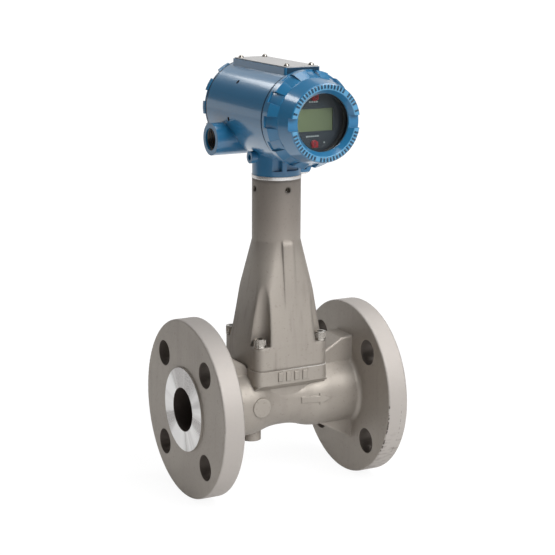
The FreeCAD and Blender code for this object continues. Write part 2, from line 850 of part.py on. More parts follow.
def make_housing():
    barrel_length = s.housing_front + s.housing_back
    level = housing_axis - s.conduit_drop
    front = -s.housing_front
    pad_points = rounded_rectangle(middle, plate_centre(), s.plate_pad_width,
                                   s.plate_pad_front + s.plate_pad_back, s.plate_pad_round)
    solids = [
        cylinder("HousingBarrel", housing_radius, barrel_length, middle, front, housing_axis, ALONG_Y),
        cylinder("Neck", s.neck_diameter / 2, housing_axis - neck_bottom, middle, 0, neck_bottom),
        cylinder("ConduitBosses", s.conduit_diameter / 2, s.conduit_reach * 2,
                 middle - s.conduit_reach, s.conduit_offset, level, ALONG_X),
        cylinder("NeckLand", s.neck_land_diameter / 2, s.neck_land_height, middle, 0, tube_top),
        cylinder("Spigot", spigot_radius, s.spigot_length, middle, 0, tube_top - s.spigot_length),
        padded("PlatePad", "XY_Plane", pad_points, housing_axis, plate_level - housing_axis),
    ]
    ground_level = tube_top + s.ground_boss_rise
    solids.append(cylinder("GroundBoss", s.ground_boss_diameter / 2, s.ground_boss_reach,
                           middle - s.ground_boss_reach, 0, ground_level, ALONG_X))
    ear_level = tube_top + s.ear_rise
    ear_x = middle + s.ear_offset
    ear_front = s.ear_width / 2 * -1
    ear_radius = s.ear_diameter / 2
    solids.append(cylinder("EarEnd", ear_radius, s.ear_width, ear_x, ear_front, ear_level, ALONG_Y))
    solids.append(block("EarRoot", (middle, ear_front, ear_level - ear_radius),
                        (ear_x, s.ear_width / 2, ear_level + ear_radius)))
    casting = fused("HousingCasting", solids)
    bore = room_radius
    thread = cover_thread_radius
    depth = s.cover_thread_depth
    tools = [
        cylinder("FrontRoom", bore, s.housing_front + s.partition_front,
                 middle, front, housing_axis, ALONG_Y),
        cylinder("BackRoom", bore, s.housing_back - partition_back,
                 middle, partition_back, housing_axis, ALONG_Y),
        cylinder("FrontThread", thread, depth, middle, front, housing_axis, ALONG_Y),
        cylinder("BackThread", thread, depth, middle, s.housing_back - depth, housing_axis, ALONG_Y),
        cylinder("CableEntryBore", s.conduit_bore / 2, s.conduit_reach,
                 middle - s.conduit_reach, s.conduit_offset, level, ALONG_X),
        cylinder("PlugEntryBore", plug_radius(), s.conduit_reach, middle, s.conduit_offset, level, ALONG_X),
        cylinder("SpigotBore", s.spigot_bore / 2, housing_axis - tube_top + s.spigot_length,
                 middle, 0, tube_top - s.spigot_length),
        cylinder("GroundHole", s.ground_hole_diameter / 2, s.ground_hole_depth,
                 middle - s.ground_boss_reach, 0, ground_level, ALONG_X),
        cylinder("EarHole", s.ear_hole_diameter / 2, s.ear_hole_depth, ear_x, ear_front, ear_level, ALONG_Y),
    ]
    rib_middle = middle - s.neck_rib_middle
    rib_left = rib_middle - s.neck_rib_width / 2
    rib_right = rib_middle + s.neck_rib_width / 2
    for name, left, right in (("Left", rib_left - s.left_pocket_width, rib_left),
                              ("Right", rib_right, rib_right + s.right_pocket_width)):
        low_corner = (left, -(s.neck_diameter / 2), tube_top + s.neck_pocket_bottom)
        high_corner = (right, -s.neck_pocket_floor, tube_top + s.neck_pocket_top)
        tools.append(block("NeckPocket" + name, low_corner, high_corner))
    groove_level = tube_top - s.spigot_groove_drop - s.neck_ring_groove
    groove_outer = cylinder("GrooveOuter", spigot_radius + s.joint_overlap, s.neck_ring_groove,
                            middle, 0, groove_level)
    groove_inner = cylinder("GrooveInner", neck_groove_radius, s.neck_ring_groove, middle, 0, groove_level)
    tools.append(cut("SpigotGroove", groove_outer, [groove_inner]))
    for name, direction in lock_screw_directions():
        tools.append(radial_cylinder("SpigotScrewHole" + name, s.lock_hole_diameter / 2, direction,
                                     s.spigot_bore / 2 - s.joint_overlap, spigot_radius + s.joint_overlap))
    for x, y in plate_screw_places():
        radius = s.plate_screw_shank / 2 + s.seat_clearance
        tools.append(cylinder("PlateScrewHole", radius, s.plate_screw_depth,
                              x, y, plate_level - s.plate_screw_depth))
    for x in block_screw_sides():
        radius = s.block_screw_shank / 2 + s.seat_clearance
        hole_start = partition_back - s.block_screw_grip
        tools.append(cylinder("PartitionScrewHole", radius, s.block_screw_grip,
                              x, hole_start, housing_axis + s.block_screw_rise, ALONG_Y))
    for name, angle, y in (("Upper", s.upper_tag_hole_angle, s.upper_tag_hole_offset),
                           ("Lower", s.lower_tag_hole_angle, s.lower_tag_hole_offset)):
        hole = cylinder("TagHole" + name, s.tag_hole_diameter / 2, s.tag_hole_depth + s.joint_overlap)
        turn = math.radians(angle.value)
        direction = Vector(math.cos(turn), 0, math.sin(turn))
        reach = housing_radius - s.tag_hole_depth
        place(hole, middle + reach * direction.x, y, housing_axis + reach * direction.z,
              Rotation(Vector(0, 0, 1), direction))
        tools.append(hole)
    return piece("housing", cut("Housing", casting, tools))


def plug_radius():
    """The closed entry's bore, a little smaller than the open one's, as its taper thread is."""
    return (s.conduit_bore - s.plug_bore_step) / 2


def lock_screw_directions():
    """The three screws in the spigot, with the way each one points."""
    return (("Left", Vector(-1, 0, 0)), ("Front", Vector(0, -1, 0)), ("Right", Vector(1, 0, 0)))


def radial_cylinder(name, radius, direction, first, last, shape=cylinder):
    """A cylinder or prism that points out from the tube's axis at the level of the lock screws."""
    thing = shape(name, radius, last - first)
    turn = Rotation(Vector(0, 0, 1), direction)
    return place(thing, middle + first * direction.x, first * direction.y, lock_hole_level, turn)


def make_lock_screws():
    screws = []
    outer = spigot_radius - s.lock_screw_sink
    inner = outer - s.lock_screw_length
    radius = s.lock_hole_diameter / 2 - s.seat_clearance
    for name, direction in lock_screw_directions():
        stem = radial_cylinder("LockScrewStem" + name, radius, direction, inner, outer)
        socket = radial_cylinder("LockScrewSocket" + name, s.lock_screw_socket, direction,
                                 outer - s.lock_screw_socket, outer + s.joint_overlap, hexagon)
        screws.append(cut("LockScrew" + name, stem, [socket]))
    piece("housing_lock_screws", group("LockScrews", screws))
    ring_level = tube_top - s.spigot_groove_drop - s.neck_ring_groove / 2
    piece("neck_o_ring", torus("NeckRing", neck_groove_radius + s.neck_ring_section / 2,
                               s.neck_ring_section / 2, middle, 0, ring_level))
    radius = s.spigot_bore / 2 - s.seat_clearance
    piece("sensor_plug", cylinder("SensorPlug", radius, s.sensor_plug_length, middle, 0, sensor_plug_bottom))


def plate_centre():
    return (s.plate_pad_back - s.plate_pad_front) / 2


def plate_screw_places():
    across = s.plate_width / 2 - s.plate_screw_inset_across
    centre = plate_centre()
    along = s.plate_length / 2 - s.plate_screw_inset_along
    for x_side in (-1, 1):
        for y_side in (-1, 1):
            yield middle + across * x_side, centre + along * y_side


def make_top_plate():
    centre = plate_centre()
    top = plate_level + s.plate_thickness
    plate_points = rounded_rectangle(middle, centre, s.plate_width, s.plate_length, s.cover_edge_round * 2)
    plate = padded("Plate", "XY_Plane", plate_points, plate_level, s.plate_thickness)
    holes = []
    screws = []
    shank = s.plate_screw_shank / 2
    head = s.plate_screw_head / 2
    rise = s.plate_screw_head_height
    dome_radius = (head * head + rise * rise) / (rise * 2)
    for x, y in plate_screw_places():
        holes.append(cylinder("PlateHole", shank + s.seat_clearance, s.plate_thickness, x, y, plate_level))
        screw = turned("PlateScrew", "XZ_Plane", "V_Axis", [
            (0, plate_level - s.plate_screw_depth), (shank, plate_level - s.plate_screw_depth),
            (shank, top), (head, top), (0, top + rise, dome_radius)])
        screws.append(place(screw, x, y))
    piece("top_plate", cut("TopPlate", plate, holes))
    piece("plate_screws", group("PlateScrews", screws))


def skirt_points(side):
    """The threaded skirt of a cover with its seal groove, from the inner end out to the rim."""
    rim = front_rim * -1 if side < 0 else back_rim
    inward = -side
    end = rim + s.cover_skirt_length * inward
    groove_near = rim + s.seal_groove_start * inward
    groove_far = rim + (s.seal_groove_start + s.seal_groove_width) * inward
    floor = cover_skirt_radius - s.seal_groove_depth
    return [
        (cover_skirt_bore, end),
        (cover_skirt_radius, end),
        (cover_skirt_radius, groove_far),
        (floor, groove_far),
        (floor, groove_near),
        (cover_skirt_radius, groove_near),
        (cover_skirt_radius, rim),
    ]


def cut_lug_gaps(body, name, start, depth, floor_radius, toward_back):
    """Cuts one gap between lugs and repeats it round the cover."""
    half = s.cover_lug_gap / 2
    outside = rear_lug_radius + s.lug_cut_reach
    points = [(floor_radius, -half), (outside, -half), (outside, half), (floor_radius, half)]
    sketch = sketch_in(body, name + "Sketch", "XZ_Plane", points, start)
    pocket = body.newObject("PartDesign::Pocket", name)
    pocket.Profile = sketch
    pocket.Reversed = not toward_back
    bind(pocket, "Length", depth)
    pattern = body.newObject("PartDesign::PolarPattern", name + "Pattern")
    pattern.Originals = [pocket]
    pattern.Axis = (sketch, ["N_Axis"])
    pattern.Angle = 360
    bind(pattern, "Occurrences", s.cover_lug_count)
    body.Tip = pattern
    return pattern


def seal_ring(name, side):
    rim = front_rim * -1 if side < 0 else back_rim
    level = rim - (s.seal_groove_start + s.seal_groove_width / 2) * side
    floor = cover_skirt_radius - s.seal_groove_depth
    radius = floor + s.swivel_clearance + s.seal_section / 2
    return torus(name, radius, s.seal_section / 2, middle, level, housing_axis, ALONG_Y)


def make_front_cover():
    lug_radius = housing_radius + s.front_lug_rise
    edge = s.cover_edge_round
    lug_end = front_rim + s.cover_rim_height + s.cover_lug_height
    lug_foot = lug_end + s.front_lug_ramp
    face = s.front_cover_reach
    glass_seat = glass_radius + s.seat_clearance
    ring_seat = ring_radius + s.seat_clearance
    points = skirt_points(-1) + [
        (lug_radius - edge / 2, -front_rim),
        (lug_radius, -(front_rim + edge / 2)),
        (lug_radius, -lug_end),
        (housing_radius - s.front_nose_inset, -lug_foot),
        (front_face_radius, -(face - edge)),
        (front_face_radius - edge, -face),
        (window_mouth_radius, -face),
        (window_radius, -(face - s.window_cone_depth)),
        (window_radius, -lip_level),
        (glass_seat, -lip_level),
        (glass_seat, -glass_back),
        (ring_seat, -glass_back),
        (ring_seat, -ring_back),
        (cover_skirt_bore, -ring_back),
    ]
    body = turned("FrontCover", "XY_Plane", "V_Axis", points)
    over = s.joint_overlap
    cut_lug_gaps(body, "FrontLugGap", lug_foot + over, s.cover_lug_height + s.front_lug_ramp + over,
                 housing_radius - s.front_gap_sink, True)
    half = s.wrench_slot_width / 2
    reach = front_face_radius + s.lug_cut_reach
    slot_points = [(-reach, -half), (reach, -half), (reach, half), (-reach, half)]
    slot_sketch = sketch_in(body, "WrenchSlotSketch", "XZ_Plane", slot_points, face + over)
    slots = body.newObject("PartDesign::Pocket", "WrenchSlots")
    slots.Profile = slot_sketch
    bind(slots, "Length", s.wrench_slot_depth + over)
    body.Tip = slots
    piece("front_cover", place(body, middle, 0, housing_axis))
    piece("front_cover_seal", seal_ring("FrontSeal", -1))


def make_window():
    thick = s.gasket_thickness
    gasket = cylinder("GasketDisc", glass_radius, thick, middle, -lip_level, housing_axis, ALONG_Y)
    opening = cylinder("GasketOpening", window_radius, thick, middle, -lip_level, housing_axis, ALONG_Y)
    piece("glass_gasket", cut("GlassGasket", gasket, [opening]))
    piece("cover_glass", cylinder("CoverGlass", glass_radius, s.glass_thickness,
                                  middle, -gasket_back, housing_axis, ALONG_Y))
    ring_bore = window_radius + s.ring_lap
    ring = cylinder("RingDisc", ring_radius, s.ring_thickness, middle, -glass_back, housing_axis, ALONG_Y)
    bore = cylinder("RingBore", ring_bore, s.ring_thickness, middle, -glass_back, housing_axis, ALONG_Y)
    piece("glass_retaining_ring", cut("RetainingRing", ring, [bore]))


def make_rear_cover():
    lug_radius = rear_lug_radius
    floor_radius = housing_radius - s.rear_gap_sink
    edge = s.rear_edge_round
    rim_end = back_rim + s.rear_rim_height
    face = back_rim + s.rear_cover_depth
    inside = face - s.rear_cover_wall
    outside = [
        (0, inside),
        (0, face),
        (floor_radius - edge, face),
        (floor_radius, face - edge),
        (lug_radius, rim_end + s.rear_lug_length),
        (lug_radius, rim_end),
        (housing_radius, rim_end),
        (housing_radius, back_rim),
    ]
    skirt = skirt_points(1)
    skirt.reverse()
    body = turned("RearCover", "XY_Plane", "V_Axis", outside + skirt + [(cover_skirt_bore, inside)])
    beyond = face + s.joint_overlap
    cut_lug_gaps(body, "RearLugGap", -beyond, beyond - rim_end, floor_radius, False)
    piece("rear_cover", place(body, middle, 0, housing_axis, REAR_COVER_TURN))
    piece("rear_cover_seal", seal_ring("RearSeal", 1))


def make_display():
    """The plug-in display: a black can with a face plate, its panel and two jumpers."""
    face = s.display_face
    plate_radius = window_radius + s.display_lap
    can_length = s.display_can_depth + s.display_plate_thickness
    plate = cylinder("DisplayPlate", plate_radius, s.display_plate_thickness,
                     middle, -face, housing_axis, ALONG_Y)
    can = cylinder("DisplayCan", plate_radius - s.display_can_inset, can_length,
                   middle, -face, housing_axis, ALONG_Y)
    clear = s.seat_clearance
    panel_level = housing_axis + s.panel_rise
    half_width = s.panel_width / 2
    half_height = s.panel_height / 2
    pocket_end = s.panel_pocket_depth - face
    recesses = [block("PanelPocket", (middle - half_width - clear, -face, panel_level - half_height - clear),
                      (middle + half_width + clear, pocket_end, panel_level + half_height + clear))]
    jumper_half = s.jumper_width / 2
    for name, side in (("alarm_jumper", 1), ("security_jumper", -1)):
        level = housing_axis + s.jumper_rise * side
        low = level - s.jumper_height / 2
        high = level + s.jumper_height / 2
        recesses.append(block("JumperPocket", (middle - jumper_half - clear, -face, low - clear),
                              (middle + jumper_half + clear, s.jumper_sink - face, high + clear)))
        piece(name, block("Jumper", (middle - jumper_half, s.jumper_sink - s.jumper_depth - face, low),
                          (middle + jumper_half, s.jumper_sink - face, high)))
    piece("display_module", cut("DisplayModule", fused("DisplayBlank", [plate, can]), recesses))
    piece("display_panel", block(
        "DisplayPanel", (middle - half_width, pocket_end - s.panel_thickness, panel_level - half_height),
        (middle + half_width, pocket_end, panel_level + half_height)))
    plug_x = s.display_plug_width / 2
    plug_z = s.display_plug_height / 2
    piece("display_connector", block(
        "DisplayConnector", (middle - plug_x, can_length - face, housing_axis - plug_z),
        (middle + plug_x, -s.upper_board_face, housing_axis + plug_z)))


def make_boards():
    radius = room_radius - s.board_inset
    upper_back = s.board_thickness - s.upper_board_face
    lower_back = s.board_thickness - s.lower_board_face
    piece("upper_circuit_board", cylinder("UpperBoard", radius, s.board_thickness,
                                          middle, -s.upper_board_face, housing_axis, ALONG_Y))
    piece("lower_circuit_board", cylinder("LowerBoard", radius, s.board_thickness,
                                          middle, -s.lower_board_face, housing_axis, ALONG_Y))
    posts = []
    for turn in (90, 210, 330):
        x = middle + (radius - s.standoff_inset) * math.cos(math.radians(turn))
        z = housing_axis + (radius - s.standoff_inset) * math.sin(math.radians(turn))
        for start, end in ((lower_back, s.partition_front), (upper_back, -s.lower_board_face)):
            posts.append(cylinder("Standoff", s.standoff_diameter / 2, end - start, x, start, z, ALONG_Y))
    piece("board_standoffs", group("Standoffs", posts))


def block_screw_sides():
    return [middle - s.block_screw_span / 2, middle + s.block_screw_span / 2]


def make_terminals():
    radius = room_radius - s.terminal_block_inset
    disc = cylinder("TerminalDisc", radius, s.terminal_block_thickness,
                    middle, partition_back, housing_axis, ALONG_Y)
    upper = block("TerminalUpper", (middle - radius, partition_back, housing_axis - s.terminal_block_drop),
                  (middle + radius, block_face, housing_axis + radius))
    blank = common("TerminalBlank", [disc, upper])
    level = housing_axis + s.terminal_rise
    floor = block_face - s.terminal_pocket_depth
    half_width = s.terminal_pocket_width / 2
    half_height = s.terminal_pocket_height / 2
    recesses = []
    screws = []
    for step in (-1, 0, 1):
        x = middle + s.terminal_pitch * step
        recesses.append(block("TerminalPocket", (x - half_width, floor, level - half_height),
                              (x + half_width, block_face, level + half_height)))
        head_radius = s.terminal_screw_diameter / 2
        top = floor + s.terminal_screw_height
        half_slot = s.terminal_slot_width / 2
        head = cylinder("TerminalHead", head_radius, s.terminal_screw_height, x, floor, level, ALONG_Y)
        slot_floor = floor + s.terminal_screw_height / 2
        slot = block("TerminalSlot", (x - head_radius, slot_floor, level - half_slot),
                     (x + head_radius, top, level + half_slot))
        screws.append(cut("TerminalScrew", head, [slot]))
    holders = []
    shank = s.block_screw_shank / 2
    shank_start = partition_back - s.block_screw_grip
    screw_level = housing_axis + s.block_screw_rise
    for x in block_screw_sides():
        recesses.append(cylinder("BlockScrewHole", shank + s.seat_clearance, s.terminal_block_thickness,
                                 x, partition_back, screw_level, ALONG_Y))
        stem = cylinder("HolderShank", shank, block_face - shank_start, x, shank_start, screw_level, ALONG_Y)
        head = cylinder("HolderHead", s.block_screw_head / 2, s.block_screw_head_height,
                        x, block_face, screw_level, ALONG_Y)
        holders.append(fused("Holder", [stem, head]))
    piece("terminal_block", cut("TerminalBlock", blank, recesses))
    piece("terminal_screws", group("TerminalScrews", screws))
    piece("terminal_block_screws", group("BlockScrews", holders))


def make_conduit_plug():
    level = housing_axis - s.conduit_drop
    start = middle + s.conduit_reach - s.plug_length
    stem = cylinder("PlugStem", plug_radius() - s.seat_clearance, s.plug_length,
                    start, s.conduit_offset, level, ALONG_X)
    socket = hexagon("PlugSocket", s.plug_socket_flats, s.plug_socket_depth,
                     start + s.plug_length - s.plug_socket_depth, s.conduit_offset, level, ALONG_X)
    piece("conduit_plug", cut("ConduitPlug", stem, [socket]))


def check_and_export():
    doc.recompute()
    for thing in doc.Objects:
        if "Invalid" in thing.State or "Error" in thing.State:
            raise RuntimeError("%s failed: %s" % (thing.Label, thing.State))
    os.makedirs("parts", exist_ok=True)
    for thing in pieces:
        if thing.Shape.isNull() or not thing.Shape.isValid():
            raise RuntimeError("%s has no valid shape" % thing.Label)
        thing.Shape.exportStep("parts/%s.step" % thing.Label)
        print(thing.Label, len(thing.Shape.Solids), round(thing.Shape.Volume))


make_meter_body()
make_sensor()
make_support_tube()
make_base_screws()
make_housing()
make_lock_screws()
make_top_plate()
make_front_cover()
make_window()
make_rear_cover()
make_display()
make_boards()
make_terminals()
make_conduit_plug()
check_and_export()
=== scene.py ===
# %% [markdown]
# A flanged vortex flow meter. A cast steel body sits in the pipe, a flared support tube stands on it,
# and a blue enamelled head carries the display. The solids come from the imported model, which is the
# fixed frame here, so every piece below is placed in metres in the same frame as those solids:
# X along the pipe, Z up, and the display facing -Y.

import bpy
import math
from mathutils import Matrix, Vector


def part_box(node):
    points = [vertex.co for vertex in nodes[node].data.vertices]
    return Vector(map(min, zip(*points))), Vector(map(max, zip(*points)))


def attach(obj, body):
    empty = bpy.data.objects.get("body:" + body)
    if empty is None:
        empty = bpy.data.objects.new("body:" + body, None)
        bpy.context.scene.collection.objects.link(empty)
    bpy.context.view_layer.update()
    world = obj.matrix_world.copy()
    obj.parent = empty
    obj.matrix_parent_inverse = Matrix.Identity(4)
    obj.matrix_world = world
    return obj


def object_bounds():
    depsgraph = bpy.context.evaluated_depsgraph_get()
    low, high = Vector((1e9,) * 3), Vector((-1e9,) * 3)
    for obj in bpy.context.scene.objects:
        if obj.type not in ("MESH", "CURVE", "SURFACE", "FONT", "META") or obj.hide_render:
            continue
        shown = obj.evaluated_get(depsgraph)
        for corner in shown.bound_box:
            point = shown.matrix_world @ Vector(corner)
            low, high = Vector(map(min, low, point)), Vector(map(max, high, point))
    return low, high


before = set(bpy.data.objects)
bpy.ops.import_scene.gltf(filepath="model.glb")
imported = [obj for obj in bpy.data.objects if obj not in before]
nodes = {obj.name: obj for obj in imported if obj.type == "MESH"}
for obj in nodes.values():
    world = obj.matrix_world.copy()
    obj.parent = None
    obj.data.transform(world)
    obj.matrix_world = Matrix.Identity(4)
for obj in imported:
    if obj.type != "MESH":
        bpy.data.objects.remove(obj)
cad_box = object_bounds()

# %% [markdown]
# Node trees get long when each link is typed by hand. These two small classes keep them readable. A
# Wire is one socket that takes part in sums, so a mask can be written as 1 - mask. A Net is a tree, and
# its add method makes any node from its type, its settings and what goes into its sockets.

# %% Sums on sockets


class Wire:
    """One output socket of a tree, which takes part in sums."""

    def __init__(self, net, socket):
        self.net = net
        self.socket = socket

    def calculated(self, operation, *others):
        """A Math node of this value and the others."""
        return self.net.add("ShaderNodeMath", {"operation": operation}, [self, *others])

    def __add__(self, other):
        return self.calculated("ADD", other)

    def __radd__(self, other):
        return self.calculated("ADD", other)

    def __sub__(self, other):
        return self.calculated("SUBTRACT", other)

    def __rsub__(self, other):
        return self.net.add("ShaderNodeMath", {"operation": "SUBTRACT"}, [other, self])

    def __mul__(self, other):
        return self.calculated("MULTIPLY", other)

    def __truediv__(self, other):
        return self.calculated("DIVIDE", other)

    def __lt__(self, other):
        return self.calculated("LESS_THAN", other)

    def __gt__(self, other):
        return self.calculated("GREATER_THAN", other)


class Net:
    """A node tree that is built by one method."""

    def __init__(self, tree):
        self.tree = tree

    def add(self, kind, settings=None, values=(), output=0):
        """Makes a node: its settings first, then its sockets by place or by name."""
        node = self.tree.nodes.new(kind)
        for name, setting in (settings or {}).items():
            setattr(node, name, setting)
        pairs = values.items() if isinstance(values, dict) else enumerate(values)
        for key, value in pairs:
            if isinstance(value, Wire):
                self.tree.links.new(value.socket, node.inputs[key])
            else:
                node.inputs[key].default_value = value
        return Wire(self, node.outputs[output]) if len(node.outputs) else None


# %% [markdown]
# A finish is a material with one Principled shader. All of its patterns read Object coordinates. Each
# object stands at the origin, so those are plain metres in the frame, and a pattern can follow a real
# place on the part, such as the turned face of a flange. The Bevel node bends the light a little at
# sharp corners, as on a casting, where no edge is perfectly sharp.

# %% A finish


class Finish(Net):
    """A material whose patterns are measured in metres on the part itself."""

    def __init__(self, name):
        self.material = bpy.data.materials.new(name)
        self.material.use_nodes = True
        super().__init__(self.material.node_tree)
        self.tree.nodes.clear()
        self.spot = self.add("ShaderNodeTexCoord", output="Object")
        self.x = self.add("ShaderNodeSeparateXYZ", values=[self.spot], output=0)
        self.y = self.add("ShaderNodeSeparateXYZ", values=[self.spot], output=1)
        self.z = self.add("ShaderNodeSeparateXYZ", values=[self.spot], output=2)

    def noise(self, size, detail=3.0, stretch=None):
        """Soft random spots about as wide as size, from 0 to 1."""
        spot = self.spot
        if stretch:
            spot = self.add("ShaderNodeMapping", values={"Vector": spot, "Scale": stretch})
        return self.add("ShaderNodeTexNoise", values={"Vector": spot, "Scale": 0.5 / size, "Detail": detail})

    def mixed(self, mask, first, last):
        """The first colour where the mask is 0, and the last where it is 1."""
        factor, colour_a, colour_b = 0, 6, 7
        return self.add("ShaderNodeMix", {"data_type": "RGBA"},
                        {factor: mask, colour_a: first, colour_b: last}, output=2)

    def smooth(self, value, low, high):
        """0 below low, 1 above high, and an even slope between."""
        return self.add("ShaderNodeMapRange", {"interpolation_type": "SMOOTHSTEP"},
                        {"Value": value, "From Min": low, "From Max": high})

    def within(self, value, low, high, soft=0.00005):
        """1 between two places, and 0 outside them."""
        return self.smooth(value, low - soft, low + soft) * (1 - self.smooth(value, high - soft, high + soft))

    def distance(self, first, second):
        """How far a point is from an axis, from its two distances across that axis."""
        return (first * first + second * second).calculated("SQRT")

    def softened(self, radius):
        """The normal with its sharp corners rounded."""
        return self.add("ShaderNodeBevel", {"samples": 4}, {"Radius": radius})

    def bumped(self, height, depth, normal=None, strength=1.0):
        """The normal over a height pattern, which is as deep as depth."""
        values = {"Height": height, "Distance": depth, "Strength": strength}
        if normal:
            values["Normal"] = normal
        return self.add("ShaderNodeBump", values=values)

    def close(self, **sockets):
        """Ends the material in a Principled shader. Names are its sockets, with _ for a space."""
        values = {name.replace("_", " "): value for name, value in sockets.items()}
        surface = self.add("ShaderNodeBsdfPrincipled", values=values)
        self.add("ShaderNodeOutputMaterial", values={"Surface": surface})
        return self.material


def dress(finish, *names):
    """Gives CAD nodes a finish."""
    for name in names:
        for place in nodes[name].material_slots:
            place.material = finish


# %% [markdown]
# The camera looks from 28 degrees to the left of the display's front and 13 degrees above it, far off and
# with a long lens. Those numbers were worked out from the round flange faces, which look like ellipses,
# and from the straight edges of the head. A long lens keeps the two flanges nearly the same size.

# %% The camera
camera_place = Vector((-0.5741, -1.2341, 0.4269))
camera_target = Vector((0.09153, 0.0, 0.10653))
camera_tilt = math.radians(0.31)
lens = bpy.data.cameras.new("camera")
lens.lens = 107.5
lens.sensor_width = 36.0
camera = bpy.data.objects.new("camera", lens)
look = (camera_target - camera_place).to_track_quat("-Z", "Y").to_matrix().to_4x4()
camera.matrix_world = Matrix.Translation(camera_place) @ look @ Matrix.Rotation(camera_tilt, 4, "Z")
bpy.context.collection.objects.link(camera)
bpy.context.scene.camera = camera
bpy.context.scene.view_settings.view_transform = "Standard"
print("camera is", round((camera_target - camera_place).length, 3), "m from its target")

# %% [markdown]
# The picture was taken in a white studio, and the gloss of the head tells where its lights stood. The main
# soft box is high in front. A second one is high on the right and brightens the turned rims, and a third
# hangs right above. Two narrow ones stand behind on the left, and they give the long highlights on the
# barrel and on the nose of the cover. Two pale walls behind are what the gloss shows elsewhere, and a
# dark panel on the left keeps the flange faces darker than their rims.

# %% The studio


def soft_box(name, place, target, size, power):
    """A rectangular lamp that points at its target."""
    lamp = bpy.data.lights.new(name, "AREA")
    lamp.shape = "RECTANGLE"
    lamp.size, lamp.size_y = size
    lamp.energy = power
    box = bpy.data.objects.new(name, lamp)
    box.matrix_world = Matrix.Translation(place) @ (
        (Vector(target) - Vector(place)).to_track_quat("-Z", "Y").to_matrix().to_4x4())
    bpy.context.collection.objects.link(box)


middle = (0.09, 0.0, 0.14)
head_middle = (0.09, 0.0, 0.25)
soft_box("front_box", (0.38, -1.48, 1.20), middle, (0.85, 0.85), 30.5)
soft_box("right_box", (1.00, -0.05, 1.65), middle, (0.8, 0.8), 10)
soft_box("top_box", (0.12, 0.05, 1.90), middle, (0.9, 0.9), 7.5)
soft_box("back_box", (-0.30, 1.68, 1.27), head_middle, (0.52, 0.20), 1.5)
soft_box("back_left_box", (-0.78, 1.27, 1.45), head_middle, (0.45, 0.22), 2.4)

world = bpy.data.worlds.new("studio")
bpy.context.scene.world = world
world.use_nodes = True
room = Net(world.node_tree)
room.tree.nodes.clear()
camera_ray = room.add("ShaderNodeLightPath", output="Is Camera Ray")
glossy_ray = room.add("ShaderNodeLightPath", output="Is Glossy Ray")
glass_ray = room.add("ShaderNodeLightPath", output="Is Transmission Ray")
seen = (camera_ray + glass_ray).calculated("MINIMUM", 1.0)
room_light = 0.28
less_in_gloss = 0.17
brightness = seen + (1 - seen) * (room_light - glossy_ray * less_in_gloss)
white = room.add("ShaderNodeBackground", values={"Color": (1, 1, 1, 1), "Strength": brightness})
room.add("ShaderNodeOutputWorld", values={"Surface": white})


def flat_sheet(name, corners):
    """One flat face, for the floor and for what stands round the object."""
    mesh = bpy.data.meshes.new(name)
    mesh.from_pydata(corners, [], [tuple(range(len(corners)))])
    sheet = bpy.data.objects.new(name, mesh)
    bpy.context.collection.objects.link(sheet)
    return sheet


floor_level = cad_box[0][2]
reach = 40.0
floor = flat_sheet("floor", [(-reach, -reach, floor_level), (reach, -reach, floor_level),
                             (reach, reach, floor_level), (-reach, reach, floor_level)])
pale = Finish("pale_floor")
seen_directly = pale.add("ShaderNodeLightPath", output="Is Camera Ray")
lit = pale.add("ShaderNodeBsdfDiffuse", values={"Color": (0.80, 0.80, 0.80, 1)})
glow = pale.add("ShaderNodeEmission", values={"Color": (1, 1, 1, 1), "Strength": 1.08})
far_off = pale.smooth(pale.distance(pale.x - middle[0], pale.y), 0.25, 0.9)
glow_on_object = 0.16
more_glow_seen = 0.69
more_glow_far = 0.15
share = glow_on_object + seen_directly * (more_glow_seen + far_off * more_glow_far)
blended = pale.add("ShaderNodeMixShader", values=[share, lit, glow])
pale.add("ShaderNodeOutputMaterial", values={"Surface": blended})
floor.data.materials.append(pale.material)

bright = Finish("bright_wall")
wall_glow = bright.add("ShaderNodeEmission", values={"Color": (1, 1, 1, 1), "Strength": 0.7})
bright.add("ShaderNodeOutputMaterial", values={"Surface": wall_glow})
low_outline = ((-2.6, -0.07), (2.6, -0.07), (2.6, 1.20), (0.8, 1.20), (0.6, 0.42), (-2.6, 0.42))
high_outline = ((-0.15, 1.35), (2.0, 1.20), (2.0, 2.30), (-0.15, 2.30))
wall_depth = 2.6
for name, outline in (("low_wall", low_outline), ("high_wall", high_outline)):
    wall = flat_sheet(name, [(x, wall_depth, z) for x, z in outline])
    wall.data.materials.append(bright.material)
    wall.visible_camera = False
    wall.visible_transmission = False

panel_x = -1.1
panel_outline = ((-1.2, -0.07), (1.2, -0.07), (1.2, 1.3), (-1.2, 1.3))
panel = flat_sheet("left_panel", [(panel_x, y, z) for y, z in panel_outline])
grey = Finish("grey_panel")
panel.data.materials.append(grey.close(Base_Color=(0.09, 0.085, 0.08, 1), Roughness=0.9))
panel.visible_camera = False

# %% [markdown]
# Most of the meter is stainless steel that was cast, then blasted with fine beads until it was even and
# dull. Its look is a warm grey, a fine grain that breaks up the shine, slow cloudy changes of tone and
# faint upright streaks, where water has run down. One rim is rubbed and has nicks from handling.
# The flanges were turned afterwards, so their faces and rims are smoother, and the raised face has the
# fine ring-shaped grooves that grip a gasket. One material with masks by place keeps all this together.

# %% Cast and turned steel
tube_shade_heights = (0.120, 0.165)
ledge_highlight_height = (0.0323, 0.0332)
pad_lit_part = (0.070, 0.112)
pad_right_side = 0.1265
flange_radius = 0.0775
stud_circle = 0.04041
stud_hole_radius = 0.0111
face_to_face = 0.180
raised_face_height = 0.0016
raised_face_radius = 0.0366
pipe_bore_radius = 0.0189
groove_pitch = 0.0008
worn_inner_edge = (0.1594, 0.1606)
worn_outer_line = (0.172, 0.1725)
worn_height = (-0.046, 0.006)
hole_shade = (0.055, 0.040, 0.034, 1)


